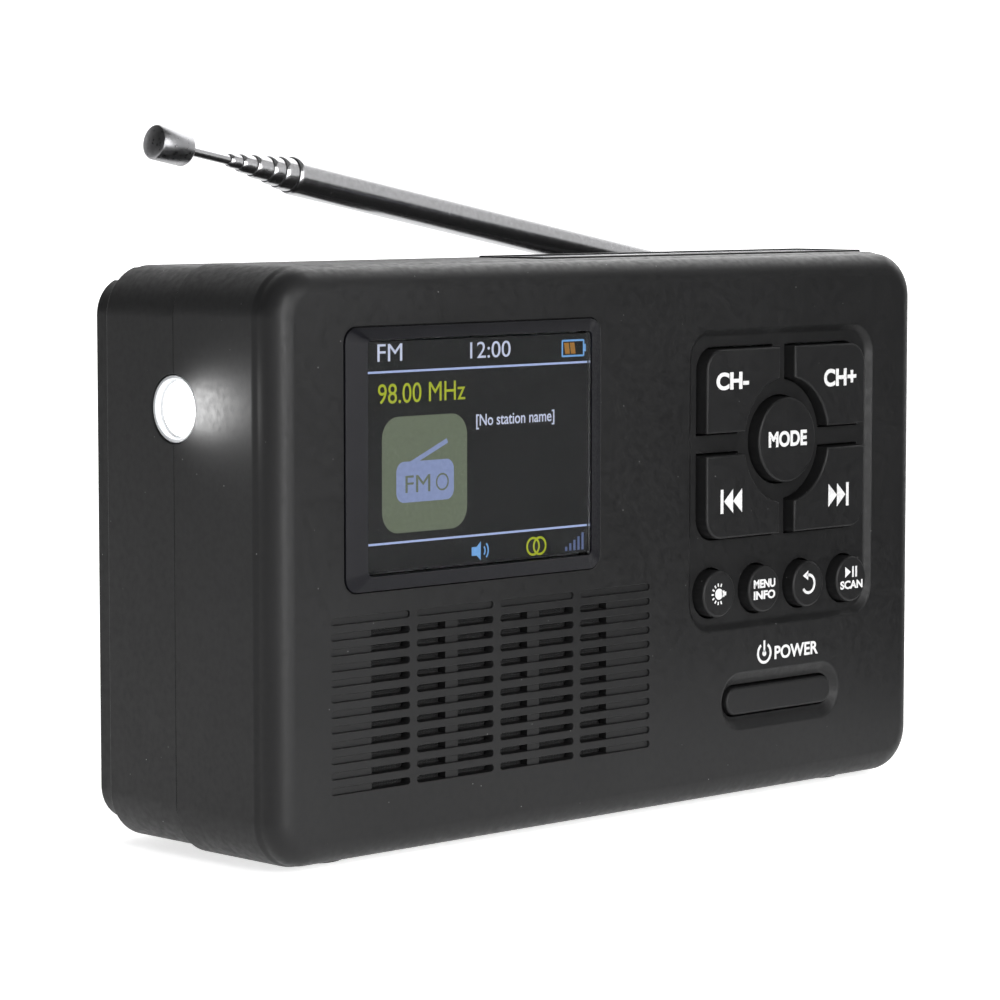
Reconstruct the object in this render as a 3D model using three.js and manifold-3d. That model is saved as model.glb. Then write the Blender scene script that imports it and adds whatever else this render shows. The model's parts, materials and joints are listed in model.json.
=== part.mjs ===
// Portable tabletop radio with a colour display, a key pad, a side torch, a rear hand crank that
// drives a small generator, a solar cell on the top and a seven-section telescopic aerial.
// Millimetres, +Z up. Inside this file x runs to the right as the user faces the radio, y runs from
// the flat front face (y = 0) to the rear, and z runs up from the underside of the case.
import * as THREE from "three";
import { mergeVertices } from "three/addons/utils/BufferGeometryUtils.js";
import Module from "manifold-3d";

const wasm = await Module();
wasm.setup();

// ---------------------------------------------------------------- driving dimensions
const CASE = { left: -77.1, right: 74.5 };
const CASE_H = 92;
const CASE_CORNER = 8;
const FRONT_PROUD = { below: 0.7, above: 0.5 }; // how far the front shell stands beyond the rear one
const WALL = 2;
const SHOULDER_Y = 4.2; // the full outline starts here, behind the pillowed front
const SHOULDER_STEP = 0.3;
const FRONT_FILLET = 3.9;
const PARTING_Y = 24;
const PARTING_GAP = 0.3;
const REAR_STEP_Y = 40.7;
const REAR_STEP = 2;
const REAR_Y = 46;
const REAR_EDGE = 1.6;
const FOOT_H = 1.2;
const CLEAR = 0.3; // gap left between pieces that meet

const DISPLAY = { left: -62.8, right: -6.7, bottom: 41.8, top: 82.9, corner: 2.2 };
const WINDOW = { left: -59.4, right: -10.2, bottom: 44.3, top: 81, corner: 0.8 };
const BEZEL_RISE = 1.6;
const BEZEL_SLOPE = 2;
const BEZEL_BACK_Y = 0.5;

const PAD_X = 38.4; // the keys are centred on this line
const PAD = { left: 15.2, right: 62, bottom: 28.9, top: 79.9, corner: 5 };
const PAD_DEPTH = 1;
const CROSS_Z = 60.7;
const CROSS_HALF_W = 20.4;
const CROSS_HALF_H = 16.1;
const CROSS_CHANNEL = 1.9;
const CROSS_RING = 10.8;
const CROSS_CORNER = 3.6;
const MODE_R = 7.35;
const SMALL_KEY_R = 4;
const SMALL_KEY_PITCH = 11.45;
const SMALL_KEY_Z = 35.25;
const POWER_Z = 16.1;
const POWER_W = 27;
const POWER_H = 4.8;
const KEY_FACE_Y = -1.2;
const KEY_GAP = 0.35;
const KEY_FLANGE = 0.9;
const KEY_FLANGE_Y = 3.5;
const KEY_BACK_Y = 4.6;

const GRILLE_COLUMNS = [[-57.05, -49.2], [-47.7, -30.95], [-29.4, -12.7], [-11.2, -4.6]];
const GRILLE_BARS = [-41.2, -22.95];
const GRILLE_BAR_W = 2.7;
const GRILLE_LOW_Z = 10.65;
const GRILLE_PITCH = 2.406;
const GRILLE_ROWS = 11;
const SLOT_H = 1.1;
const SPEAKER_X = -30.5;
const SPEAKER_Z = 23.4;
const SPEAKER_R = 18.5;

const TORCH_Z = 70;
const TORCH_R = 5.45;
const TORCH_DEPTH = 1.5; // the lens lies this far inside the side wall

const AERIAL_X = 64;
const AERIAL_Y = 43.1;
const AERIAL_Z = 87.4;
const AERIAL_TILT = 10.6; // degrees above its stowed, level position
const AERIAL_LENGTH = 131.5;
const MAST_END = 102.3; // distance of the outer tube's open end from the pivot
const SECTION_R = [3.25, 2.8, 2.4, 2.0, 1.6, 1.22, 0.85];
const SECTION_WALL = 0.28;
const SECTION_SHOW = [2.6, 2.4, 3.2, 2.8, 2.4]; // how far each middle section stands out when closed
const TIP_R = 2.9;
const TIP_L = 6.8;
const TANG_R = 4;

const CRANK_X = -14;
const CRANK_Z = 77.5;
const CRANK_R = 51; // hub centre to grip pin
const ARM_FRONT_Y = 46.8;
const ARM_REAR_Y = 51.4;
const ARM_HALF_W = 4.2;
const ARM_LIFT = 4; // degrees by which the folded arm rises towards its grip
const GRIP_L = 27;
const GRIP_HALF_W = 2.5;

const GEAR_MODULE = 0.75;
const WHEEL_TEETH = 30;
const PINION_TEETH = 10;
const GEAR_CENTRES = (GEAR_MODULE * (WHEEL_TEETH + PINION_TEETH)) / 2;
const GEAR_THICK = 2.4;
const STAGE_1_Y = 33;
const STAGE_2_Y = 29.6;
const GEAR_PLATE_Y = 27.8;
const GENERATOR_BEARING = 210; // direction of the generator from the idler, in degrees

// ---------------------------------------------------------------- solid helpers
function toSolid(geometry) {
  const bare = geometry.clone();
  bare.deleteAttribute("normal");
  bare.deleteAttribute("uv");
  const merged = mergeVertices(bare, 1e-4);
  return new wasm.Manifold(
    new wasm.Mesh({
      numProp: 3,
      vertProperties: new Float32Array(merged.attributes.position.array),
      triVerts: new Uint32Array(merged.index.array),
    }),
  );
}

function toGeometry(solid) {
  const mesh = solid.getMesh();
  const geometry = new THREE.BufferGeometry();
  geometry.setAttribute("position", new THREE.BufferAttribute(mesh.vertProperties.slice(), 3));
  geometry.setIndex(new THREE.BufferAttribute(mesh.triVerts.slice(), 1));
  geometry.computeVertexNormals();
  return geometry;
}

function join(first, ...rest) {
  return rest.reduce((sum, next) => sum.add(next), first);
}

function cut(first, ...rest) {
  return rest.reduce((left, tool) => left.subtract(tool), first);
}

function box(x0, x1, y0, y1, z0, z1) {
  const geometry = new THREE.BoxGeometry(x1 - x0, y1 - y0, z1 - z0);
  geometry.translate((x0 + x1) / 2, (y0 + y1) / 2, (z0 + z1) / 2);
  return toSolid(geometry);
}

// A rounded rectangle drawn in the x-z plane.
function roundedRect(left, right, bottom, top, r, arcPoints = 6) {
  const corners = [
    [right - r, bottom + r, -90],
    [right - r, top - r, 0],
    [left + r, top - r, 90],
    [left + r, bottom + r, 180],
  ];
  const points = corners.flatMap(([cx, cz, from]) =>
    Array.from({ length: arcPoints + 1 }, (_, i) => {
      const a = THREE.MathUtils.degToRad(from + (90 * i) / arcPoints);
      return new THREE.Vector2(cx + r * Math.cos(a), cz + r * Math.sin(a));
    }),
  );
  return new THREE.Shape(points);
}

function caseOutline(inset, proud = { below: 0, above: 0 }) {
  const low = inset - proud.below;
  const high = CASE_H - inset + proud.above;
  return roundedRect(CASE.left + inset, CASE.right - inset, low, high, CASE_CORNER - inset);
}

// A shape of the x-z plane, extruded from y0 to y1, with an optional rounded or chamfered edge.
function prism(shape, y0, y1, bevel = null) {
  const options = { depth: y1 - y0, bevelEnabled: false, curveSegments: 10 };
  if (bevel) {
    options.depth = y1 - y0 - 2 * bevel.thickness;
    options.bevelEnabled = true;
    options.bevelThickness = bevel.thickness;
    options.bevelSize = bevel.size;
    options.bevelOffset = -bevel.size;
    options.bevelSegments = bevel.steps;
  }
  const geometry = new THREE.ExtrudeGeometry(shape, options);
  geometry.rotateX(Math.PI / 2);
  geometry.translate(0, y1 - (bevel ? bevel.thickness : 0), 0);
  return toSolid(geometry);
}

function cylinderY(r, y0, y1, x, z, sides = 20) {
  const geometry = new THREE.CylinderGeometry(r, r, y1 - y0, sides);
  geometry.translate(x, (y0 + y1) / 2, z);
  return toSolid(geometry);
}

function cylinderX(r, x0, x1, y, z, sides = 20) {
  const geometry = new THREE.CylinderGeometry(r, r, x1 - x0, sides);
  geometry.rotateZ(Math.PI / 2);
  geometry.translate((x0 + x1) / 2, y, z);
  return toSolid(geometry);
}

function cylinderZ(r, z0, z1, x, y, sides = 20) {
  const geometry = new THREE.CylinderGeometry(r, r, z1 - z0, sides);
  geometry.rotateX(Math.PI / 2);
  geometry.translate(x, y, (z0 + z1) / 2);
  return toSolid(geometry);
}

// A profile of [radius, height] pairs turned round the y axis.
function latheY(profile, sides) {
  const points = profile.map(([r, h]) => new THREE.Vector2(r, h));
  return new THREE.LatheGeometry(points, sides);
}

function disc(r, x, z, sides = 24) {
  const points = Array.from({ length: sides }, (_, i) => {
    const a = (2 * Math.PI * i) / sides;
    return new THREE.Vector2(x + r * Math.cos(a), z + r * Math.sin(a));
  });
  return new THREE.Shape(points);
}

// ---------------------------------------------------------------- materials
function finish(color, roughness, metalness = 0) {
  return new THREE.MeshStandardMaterial({ color, roughness, metalness });
}

const MATERIAL = {
  casing: finish(0x1c1c1d, 0.55),
  key: finish(0x1e1e1f, 0.6),
  bezel: finish(0x15151a, 0.3),
  glass: finish(0x0b0c0d, 0.06),
  screen: finish(0x2a2c28, 0.4),
  rubber: finish(0x101010, 0.85),
  chrome: finish(0xc8c8ca, 0.15, 1),
  steel: finish(0x9a9b9d, 0.35, 1),
  board: finish(0x1d5a34, 0.6),
  white: finish(0xe8e6de, 0.5),
  silicone: finish(0x5a5c60, 0.7),
  lamp: finish(0xf4f6f8, 0.2),
  paper: finish(0x242220, 0.8),
  battery: finish(0x2f6f9e, 0.45),
  solar: finish(0x0c1222, 0.15),
};

// Everything below is added to this group, whose origin is where the case's own frame starts.
const assembly = new THREE.Group();

function add(name, geometryOrSolid, material, parent = assembly) {
  const isGeometry = geometryOrSolid.isBufferGeometry === true;
  const geometry = isGeometry ? geometryOrSolid : toGeometry(geometryOrSolid);
  const mesh = new THREE.Mesh(geometry, material);
  mesh.name = name;
  parent.add(mesh);
  return mesh;
}

// ---------------------------------------------------------------- key outlines
// One quarter of the key cross: a rounded rectangle corner with the ring round the centre key bitten out.
function crossKeyShape(signX, signZ, grow) {
  const outerW = CROSS_HALF_W + grow;
  const outerH = CROSS_HALF_H + grow;
  const channel = CROSS_CHANNEL - grow;
  const ring = CROSS_RING - grow;
  const corner = CROSS_CORNER + grow;
  const reach = Math.sqrt(ring * ring - channel * channel);
  const points = [[channel, outerH]];
  const ringPoints = 8;
  const cornerPoints = 5;
  const from = Math.atan2(reach, channel);
  const to = Math.atan2(channel, reach);
  for (let i = 0; i <= ringPoints; i += 1) {
    const a = from + ((to - from) * i) / ringPoints;
    points.push([ring * Math.cos(a), ring * Math.sin(a)]);
  }
  points.push([outerW, channel]);
  for (let i = 0; i <= cornerPoints; i += 1) {
    const a = (Math.PI / 2) * (i / cornerPoints);
    points.push([outerW - corner + corner * Math.cos(a), outerH - corner + corner * Math.sin(a)]);
  }
  const placed = points.map(([x, z]) => new THREE.Vector2(PAD_X + signX * x, CROSS_Z + signZ * z));
  return new THREE.Shape(placed);
}

function pillShape(width, height) {
  const half = width / 2;
  const r = height / 2;
  return roundedRect(PAD_X - half, PAD_X + half, POWER_Z - r, POWER_Z + r, r - 0.01, 6);
}

const smallKeyX = [-1.5, -0.5, 0.5, 1.5].map((k) => PAD_X + k * SMALL_KEY_PITCH);

// Each key's name with its outline as a function of how far it is grown outwards.
const KEYS = [
  ["key_channel_down", (grow) => crossKeyShape(-1, 1, grow)],
  ["key_channel_up", (grow) => crossKeyShape(1, 1, grow)],
  ["key_previous", (grow) => crossKeyShape(-1, -1, grow)],
  ["key_next", (grow) => crossKeyShape(1, -1, grow)],
  ["key_mode", (grow) => disc(MODE_R + grow, PAD_X, CROSS_Z, 24)],
  ["key_torch", (grow) => disc(SMALL_KEY_R + grow, smallKeyX[0], SMALL_KEY_Z, 18)],
  ["key_menu", (grow) => disc(SMALL_KEY_R + grow, smallKeyX[1], SMALL_KEY_Z, 18)],
  ["key_back", (grow) => disc(SMALL_KEY_R + grow, smallKeyX[2], SMALL_KEY_Z, 18)],
  ["key_scan", (grow) => disc(SMALL_KEY_R + grow, smallKeyX[3], SMALL_KEY_Z, 18)],
  ["key_power", (grow) => pillShape(POWER_W + 2 * grow, POWER_H + 2 * grow)],
];

// ---------------------------------------------------------------- casing
const FRONT_SHELL_END = PARTING_Y - PARTING_GAP / 2;
const REAR_SHELL_START = PARTING_Y + PARTING_GAP / 2;
const BOSSES = [[-70, 12], [67.6, 12], [-70, 56], [67.6, 56]];
const BOSS_R = 3.3;
const SCREW_R = 1.3;
const SCREW_START_Y = 10;
const SCREW_HEAD_R = 2.7;
const SCREW_HEAD_Y = 42;
const SCREW_HEAD_H = 1.9;
const PAD_BACK_MARGIN = 2; // the wall is thicker this far round the key pad
const POWER_BACK = { halfW: 17, halfH: 7 };
const POWER_DISH = { growW: 1.5, growH: 3.4 };
const DISPLAY_SEAT = { gap: 0.15, corner: 2.3, depth: 0.8 };
const DISPLAY_OPENING = { side: 2.1, end: 1.5 };
const GRILLE_BAR_DEPTH = 0.8;
const GRILLE_BAR_LOW_Z = GRILLE_LOW_Z - 1.2;
const GRILLE_TOP_Z = GRILLE_LOW_Z + GRILLE_ROWS * GRILLE_PITCH;
const OVERLAP = 0.5; // pieces that are joined reach this far into each other
const AERIAL_POCKET = { left: -71.5, right: 69, front: AERIAL_Y - 3.5, floor: AERIAL_Z - TANG_R - CLEAR };
const POCKET_WALL = 1.6;
const SHELL_TOP = CASE_H + FRONT_PROUD.above;
const SOLAR = { left: -12, right: 68, front: 8, rear: 23.2, rise: 0.3, seat: CASE_H - 1.1 };
const PORTS = { usbX: 52, jackX: 36, z: 30 };
const USB_W = 9.4;
const USB_H = 3.6;
const JACK_R = 3;
const REAR_HOLE_DEPTH = 4;
const CRANK_HOLE_R = 3.3;
const AERIAL_SCREW_R = 1.3;

function roundedEdge(size, steps) {
  return { thickness: size, size, steps };
}

function frontOuter() {
  const pillowDepth = 14;
  const pillow = prism(caseOutline(SHOULDER_STEP, FRONT_PROUD), 0, pillowDepth, roundedEdge(FRONT_FILLET, 4));
  return join(prism(caseOutline(0, FRONT_PROUD), SHOULDER_Y, FRONT_SHELL_END), pillow);
}

function rearOuter() {
  const capDepth = 10;
  const cap = prism(caseOutline(REAR_STEP), REAR_Y - capDepth, REAR_Y, roundedEdge(REAR_EDGE, 2));
  return join(prism(caseOutline(0), REAR_SHELL_START, REAR_STEP_Y), cap);
}

function caseCavity() {
  const edgeInset = FRONT_FILLET + CLEAR;
  const edgeEnd = 8;
  const rearDepth = 8;
  const behindEdge = prism(caseOutline(edgeInset), WALL, edgeEnd);
  const main = prism(caseOutline(WALL), edgeEnd - 1, REAR_STEP_Y - WALL);
  const rear = prism(caseOutline(REAR_STEP + WALL), REAR_Y - WALL - rearDepth, REAR_Y - WALL);
  return join(main, behindEdge, rear);
}

function slab(y0, y1) {
  return box(2 * CASE.left, 2 * CASE.right, y0, y1, -CASE_H, 2 * CASE_H);
}

function grilleSlots() {
  const slots = [];
  for (let row = 0; row < GRILLE_ROWS; row += 1) {
    const z = GRILLE_LOW_Z + row * GRILLE_PITCH;
    for (const [x0, x1] of GRILLE_COLUMNS) slots.push(box(x0, x1, -1, WALL + 1, z, z + SLOT_H));
  }
  return slots;
}

function torchHole() {
  return cylinderX(TORCH_R + 0.15, 2 * CASE.left, CASE.left + 2 * WALL, PARTING_Y, TORCH_Z, 24);
}

function solarSeat() {
  return box(
    SOLAR.left - CLEAR, SOLAR.right + CLEAR, SOLAR.front - CLEAR, SOLAR.rear + CLEAR, SOLAR.seat, 2 * CASE_H,
  );
}

function displaySeat() {
  const { gap, corner, depth } = DISPLAY_SEAT;
  const { left, right, bottom, top } = DISPLAY;
  return prism(roundedRect(left - gap, right + gap, bottom - gap, top + gap, corner, 3), -1, depth);
}

function displayOpening() {
  const { side, end } = DISPLAY_OPENING;
  const { left, right, bottom, top } = DISPLAY;
  return box(left + side, right - side, -1, WALL + 1, bottom + end, top - end);
}

function frontShell() {
  const hollow = cut(frontOuter(), caseCavity());
  const backFrom = WALL - OVERLAP;
  const backTo = WALL + PAD_DEPTH;
  const padBack = box(
    PAD.left - PAD_BACK_MARGIN, PAD.right + PAD_BACK_MARGIN, backFrom, backTo,
    PAD.bottom - PAD_BACK_MARGIN, PAD.top + PAD_BACK_MARGIN,
  );
  const powerBack = box(
    PAD_X - POWER_BACK.halfW, PAD_X + POWER_BACK.halfW, backFrom, backTo,
    POWER_Z - POWER_BACK.halfH, POWER_Z + POWER_BACK.halfH,
  );
  const bosses = BOSSES.map(([x, z]) => cylinderY(BOSS_R, backFrom, FRONT_SHELL_END, x, z, 14));
  let shell = join(hollow, padBack, powerBack, ...bosses);
  const padPocket = prism(roundedRect(PAD.left, PAD.right, PAD.bottom, PAD.top, PAD.corner), -1, PAD_DEPTH);
  const powerDish = prism(pillShape(POWER_W + POWER_DISH.growW, POWER_H + POWER_DISH.growH), -1, PAD_DEPTH);
  const keyHoles = KEYS.map(([, outline]) => prism(outline(KEY_GAP), -1, KEY_BACK_Y));
  const screwHoles = BOSSES.map(([x, z]) =>
    cylinderY(SCREW_R + CLEAR, SCREW_START_Y - 2, PARTING_Y + 1, x, z, 10),
  );
  shell = cut(shell, padPocket, powerDish, displaySeat(), displayOpening(), ...keyHoles, ...screwHoles);
  shell = cut(shell, ...grilleSlots());
  const bars = GRILLE_BARS.map((x) =>
    box(x, x + GRILLE_BAR_W, WALL - GRILLE_BAR_DEPTH, WALL, GRILLE_BAR_LOW_Z, GRILLE_TOP_Z),
  );
  return cut(join(shell, ...bars), torchHole(), solarSeat());
}

// A hole of radius r through the rear wall.
function rearHole(r, x, z, sides, from = REAR_Y - REAR_HOLE_DEPTH) {
  return cylinderY(r, from, REAR_Y + 1, x, z, sides);
}

function rearShell() {
  const outer = rearOuter();
  const p = AERIAL_POCKET;
  const pocketWall = box(
    p.left - POCKET_WALL, p.right + POCKET_WALL, p.front - POCKET_WALL, REAR_Y, p.floor - POCKET_WALL, CASE_H,
  );
  const bosses = BOSSES.map(([x, z]) => cylinderY(BOSS_R, REAR_SHELL_START, REAR_Y - 1, x, z, 14));
  const shell = join(cut(outer, caseCavity()), pocketWall.intersect(outer), ...bosses);
  const pocket = box(p.left, p.right, p.front, 2 * REAR_Y, p.floor, 2 * CASE_H);
  const screwHoles = BOSSES.flatMap(([x, z]) => [
    rearHole(SCREW_R + CLEAR, x, z, 10, PARTING_Y - 1),
    rearHole(SCREW_HEAD_R + CLEAR, x, z, 14, SCREW_HEAD_Y),
  ]);
  const crankHole = rearHole(CRANK_HOLE_R, CRANK_X, CRANK_Z, 16);
  const jackHole = rearHole(JACK_R + CLEAR, PORTS.jackX, PORTS.z, 16);
  const aerialHoleR = AERIAL_SCREW_R + 0.2;
  const aerialHole = cylinderY(aerialHoleR, p.front - 2 * POCKET_WALL, p.front + 1, AERIAL_X, AERIAL_Z, 12);
  const usbHalfW = USB_W / 2 + CLEAR;
  const usbHalfH = USB_H / 2 + CLEAR;
  const usbHole = box(
    PORTS.usbX - usbHalfW, PORTS.usbX + usbHalfW, REAR_Y - REAR_HOLE_DEPTH, REAR_Y + 1,
    PORTS.z - usbHalfH, PORTS.z + usbHalfH,
  );
  return cut(shell, pocket, ...screwHoles, crankHole, jackHole, aerialHole, usbHole, torchHole());
}

add("front_shell", frontShell(), MATERIAL.casing);
add("rear_shell", rearShell(), MATERIAL.casing);

// Case screws run from the rear into the front shell's bosses.
BOSSES.forEach(([x, z], i) => {
  const headStart = SCREW_HEAD_Y + CLEAR;
  const shaft = cylinderY(SCREW_R, SCREW_START_Y, headStart + OVERLAP, x, z, 10);
  const head = cylinderY(SCREW_HEAD_R, headStart, headStart + SCREW_HEAD_H, x, z, 14);
  add(`case_screw_${i + 1}`, join(head, shaft), MATERIAL.steel);
});

// Rubber feet are glued under the case; each row gives the foot's place and the underside it sits on.
const FEET = [
  ["foot_front_left", -60.6, 9.9, -FRONT_PROUD.below],
  ["foot_front_right", 58.2, 9.9, -FRONT_PROUD.below],
  ["foot_rear_left", -60.6, 35, 0],
  ["foot_rear_right", 58.2, 35, 0],
];
const FOOT_R = 4.5;
const GLUE = 0.02;
FEET.forEach(([name, x, y, under]) => {
  add(name, cylinderZ(FOOT_R, -FOOT_H, under - GLUE, x, y, 20), MATERIAL.rubber);
});

// ---------------------------------------------------------------- display
function displayBezel() {
  const outline = roundedRect(DISPLAY.left, DISPLAY.right, DISPLAY.bottom, DISPLAY.top, DISPLAY.corner, 3);
  const block = prism(outline, -BEZEL_RISE, 6, { thickness: BEZEL_RISE, size: BEZEL_SLOPE, steps: 1 });
  const windowShape = roundedRect(WINDOW.left, WINDOW.right, WINDOW.bottom, WINDOW.top, WINDOW.corner, 2);
  const window = prism(windowShape, -5, 5);
  return cut(block.intersect(slab(-5, BEZEL_BACK_Y)), window);
}

const LENS_FRONT_Y = -BEZEL_RISE + CLEAR;
const LENS_BACK_Y = -0.4;
const LENS_GAP = 0.15;
const LENS_CORNER = 0.7;
const PANEL_INSET = 0.5;
const PANEL_DEPTH = 1.7;
const PANEL_Y = LENS_BACK_Y + CLEAR;
const BACK_FRAME_Y = PANEL_Y + PANEL_DEPTH + CLEAR;
const BACK_FRAME_DEPTH = 2.3;
const MAIN_BOARD = { left: -64, right: -4, front: 8, rear: 9.6, bottom: 44.5, top: 84 };

// A rectangle's four sides, each moved inwards.
function shrunk(rect, by) {
  return [rect.left + by, rect.right - by, rect.bottom + by, rect.top - by];
}

function windowBox(inset, y0, y1) {
  const [left, right, bottom, top] = shrunk(WINDOW, inset);
  return box(left, right, y0, y1, bottom, top);
}

function boardBox(b) {
  return box(b.left, b.right, b.front, b.rear, b.bottom, b.top);
}

add("display_bezel", displayBezel(), MATERIAL.bezel);
const lensShape = roundedRect(...shrunk(WINDOW, LENS_GAP), LENS_CORNER, 2);
add("display_lens", prism(lensShape, LENS_FRONT_Y, LENS_BACK_Y), MATERIAL.glass);
add("lcd_panel", windowBox(PANEL_INSET, PANEL_Y, PANEL_Y + PANEL_DEPTH), MATERIAL.screen);
add("lcd_back_frame", windowBox(0, BACK_FRAME_Y, BACK_FRAME_Y + BACK_FRAME_DEPTH), MATERIAL.steel);
add("main_board", boardBox(MAIN_BOARD), MATERIAL.board);

// ---------------------------------------------------------------- keys
function keySolid(outline) {
  const cap = prism(outline(0), KEY_FACE_Y, KEY_BACK_Y);
  const flange = prism(outline(KEY_FLANGE), KEY_FLANGE_Y, KEY_BACK_Y);
  return join(cap, flange);
}

// The power key sits in a shallow dish, so its face is lower than the others'.
const POWER_FACE_Y = 0.35;
KEYS.forEach(([name, outline]) => {
  const solid = keySolid(outline);
  const isPower = name === "key_power";
  add(name, isPower ? solid.intersect(slab(POWER_FACE_Y, 10)) : solid, MATERIAL.key);
});
const KEY_MAT = { left: 14, right: 62, front: 5.7, rear: 6.7, bottom: 11, top: 79 };
const KEY_BOARD = { left: 12, right: 64, front: 7, rear: 8.6, bottom: 9, top: 82 };
add("key_mat", boardBox(KEY_MAT), MATERIAL.silicone);
add("key_board", boardBox(KEY_BOARD), MATERIAL.board);

// ---------------------------------------------------------------- speaker
function placed(geometry, x, y, z) {
  geometry.translate(x, y, z);
  return geometry;
}

// Turned profiles: [radius, distance behind the cloth].
const BASKET = [
  [SPEAKER_R, 0], [SPEAKER_R, 1.4], [13.5, 6.5], [9.3, 6.5], [9.3, 5.1], [12.6, 5.1], [16.2, 1.2],
  [16.2, 0], [SPEAKER_R, 0],
];
const CONE = [[15.6, 0], [15.6, 0.8], [6.6, 4.6], [0, 4.6], [0, 3.2], [6, 3.2], [14.2, 0], [15.6, 0]];
const MAGNET = { r: 11, from: 6.8, to: 13 };
const CLOTH_THICK = 0.3;
const CLOTH_MARGIN = 2;
const CLOTH_Y = WALL + CLEAR;
const SPEAKER_Y = CLOTH_Y + CLOTH_THICK + CLEAR;
const lastColumn = GRILLE_COLUMNS[GRILLE_COLUMNS.length - 1];
const speakerCloth = box(
  GRILLE_COLUMNS[0][0] - CLOTH_MARGIN, lastColumn[1] + CLOTH_MARGIN, CLOTH_Y, CLOTH_Y + CLOTH_THICK,
  GRILLE_LOW_Z - CLOTH_MARGIN, GRILLE_TOP_Z,
);
const magnet = cylinderY(MAGNET.r, SPEAKER_Y + MAGNET.from, SPEAKER_Y + MAGNET.to, SPEAKER_X, SPEAKER_Z, 24);
add("speaker_cloth", speakerCloth, MATERIAL.paper);
add("speaker_basket", placed(latheY(BASKET, 28), SPEAKER_X, SPEAKER_Y, SPEAKER_Z), MATERIAL.steel);
add("speaker_cone", placed(latheY(CONE, 28), SPEAKER_X, SPEAKER_Y, SPEAKER_Z), MATERIAL.paper);
add("speaker_magnet", magnet, MATERIAL.steel);

// ---------------------------------------------------------------- torch
const TORCH_X = CASE.left;
const LENS_BACK = TORCH_DEPTH + 0.9;
const LENS_R = TORCH_R - 0.15;
const LENS_BORE_R = LENS_R - 0.55;
const LENS_CUP = [
  [0, TORCH_DEPTH], [LENS_BORE_R, TORCH_DEPTH], [LENS_BORE_R, 0.15], [LENS_R, 0.15], [LENS_R, LENS_BACK],
  [0, LENS_BACK],
];
const REFLECTOR = [[1.8, 7], [4.7, 0], [5.1, 0], [5.1, 0.4], [2.2, 7], [1.8, 7]];
const REFLECTOR_X = TORCH_X + LENS_BACK + CLEAR;
const LED = { r: 1.4, from: 6, to: 7.7 };
const LED_BOARD = { r: 5.2, from: 8, to: 9.2 };

function alongX(geometry, x, y, z) {
  geometry.rotateZ(-Math.PI / 2);
  geometry.translate(x, y, z);
  return geometry;
}

add("torch_lens", alongX(latheY(LENS_CUP, 24), TORCH_X, PARTING_Y, TORCH_Z), MATERIAL.lamp);
add("torch_reflector", alongX(latheY(REFLECTOR, 20), REFLECTOR_X, PARTING_Y, TORCH_Z), MATERIAL.chrome);
function behindTorch({ r, from, to }, sides) {
  return cylinderX(r, REFLECTOR_X + from, REFLECTOR_X + to, PARTING_Y, TORCH_Z, sides);
}
add("torch_led", behindTorch(LED, 12), MATERIAL.lamp);
add("torch_board", behindTorch(LED_BOARD, 16), MATERIAL.board);

// ---------------------------------------------------------------- solar cell
const SOLAR_TOP = SHELL_TOP + SOLAR.rise;
const SOLAR_RIM = 1.5;
const SOLAR_CELL_TOP = SOLAR_TOP - 0.2;
const SOLAR_CELL_THICK = 0.7;

function solarBox(inset, z0, z1) {
  return box(SOLAR.left + inset, SOLAR.right - inset, SOLAR.front + inset, SOLAR.rear - inset, z0, z1);
}

const solarTray = solarBox(SOLAR_RIM, SOLAR_CELL_TOP - SOLAR_CELL_THICK - CLEAR, SOLAR_TOP + 1);
add("solar_frame", cut(solarBox(0, SOLAR.seat + CLEAR, SOLAR_TOP), solarTray), MATERIAL.casing);
add(
  "solar_cell",
  solarBox(SOLAR_RIM + CLEAR, SOLAR_CELL_TOP - SOLAR_CELL_THICK, SOLAR_CELL_TOP),
  MATERIAL.solar,
);

// ---------------------------------------------------------------- battery and rear sockets
const BATTERY = { left: -8, right: 57, y: 32.5, z: 13.2, r: 9.2 };
const CRADLE = { inset: 4, front: BATTERY.y - 7, bottom: 2.4, top: 9 };
function batteryCylinder(r) {
  return cylinderX(r, BATTERY.left, BATTERY.right, BATTERY.y, BATTERY.z, 24);
}
function batteryCradle() {
  const left = BATTERY.left + CRADLE.inset;
  const right = BATTERY.right - CRADLE.inset;
  const block = box(left, right, CRADLE.front, REAR_STEP_Y - WALL - CLEAR, CRADLE.bottom, CRADLE.top);
  return cut(block, batteryCylinder(BATTERY.r + CLEAR));
}
add("battery_cell", batteryCylinder(BATTERY.r), MATERIAL.battery);
add("battery_cradle", batteryCradle(), MATERIAL.white);

const SOCKET_Y = 37.4;
const SOCKET_FLOOR_Y = SOCKET_Y + 1;
const USB_END_Y = REAR_Y - 0.4;
const USB_WALL = 0.3;
const USB_TONGUE = { halfW: 3.3, halfH: 0.35, end: REAR_Y - 1.2 };
const JACK_END_Y = REAR_Y - 0.2;
const JACK_BORE_R = 1.8;
const SOCKET_BOARD = {
  left: 28, right: 64, front: SOCKET_Y - 1.9, rear: SOCKET_Y - CLEAR, bottom: 24.5, top: 38,
};
function usbBox(halfW, halfH, y0, y1) {
  return box(PORTS.usbX - halfW, PORTS.usbX + halfW, y0, y1, PORTS.z - halfH, PORTS.z + halfH);
}
function usbSocket() {
  const body = usbBox(USB_W / 2, USB_H / 2, SOCKET_Y, USB_END_Y);
  const mouth = usbBox(USB_W / 2 - USB_WALL, USB_H / 2 - USB_WALL, SOCKET_FLOOR_Y, REAR_Y + 1);
  const tongue = usbBox(USB_TONGUE.halfW, USB_TONGUE.halfH, SOCKET_Y + OVERLAP, USB_TONGUE.end);
  return join(cut(body, mouth), tongue);
}
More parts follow.
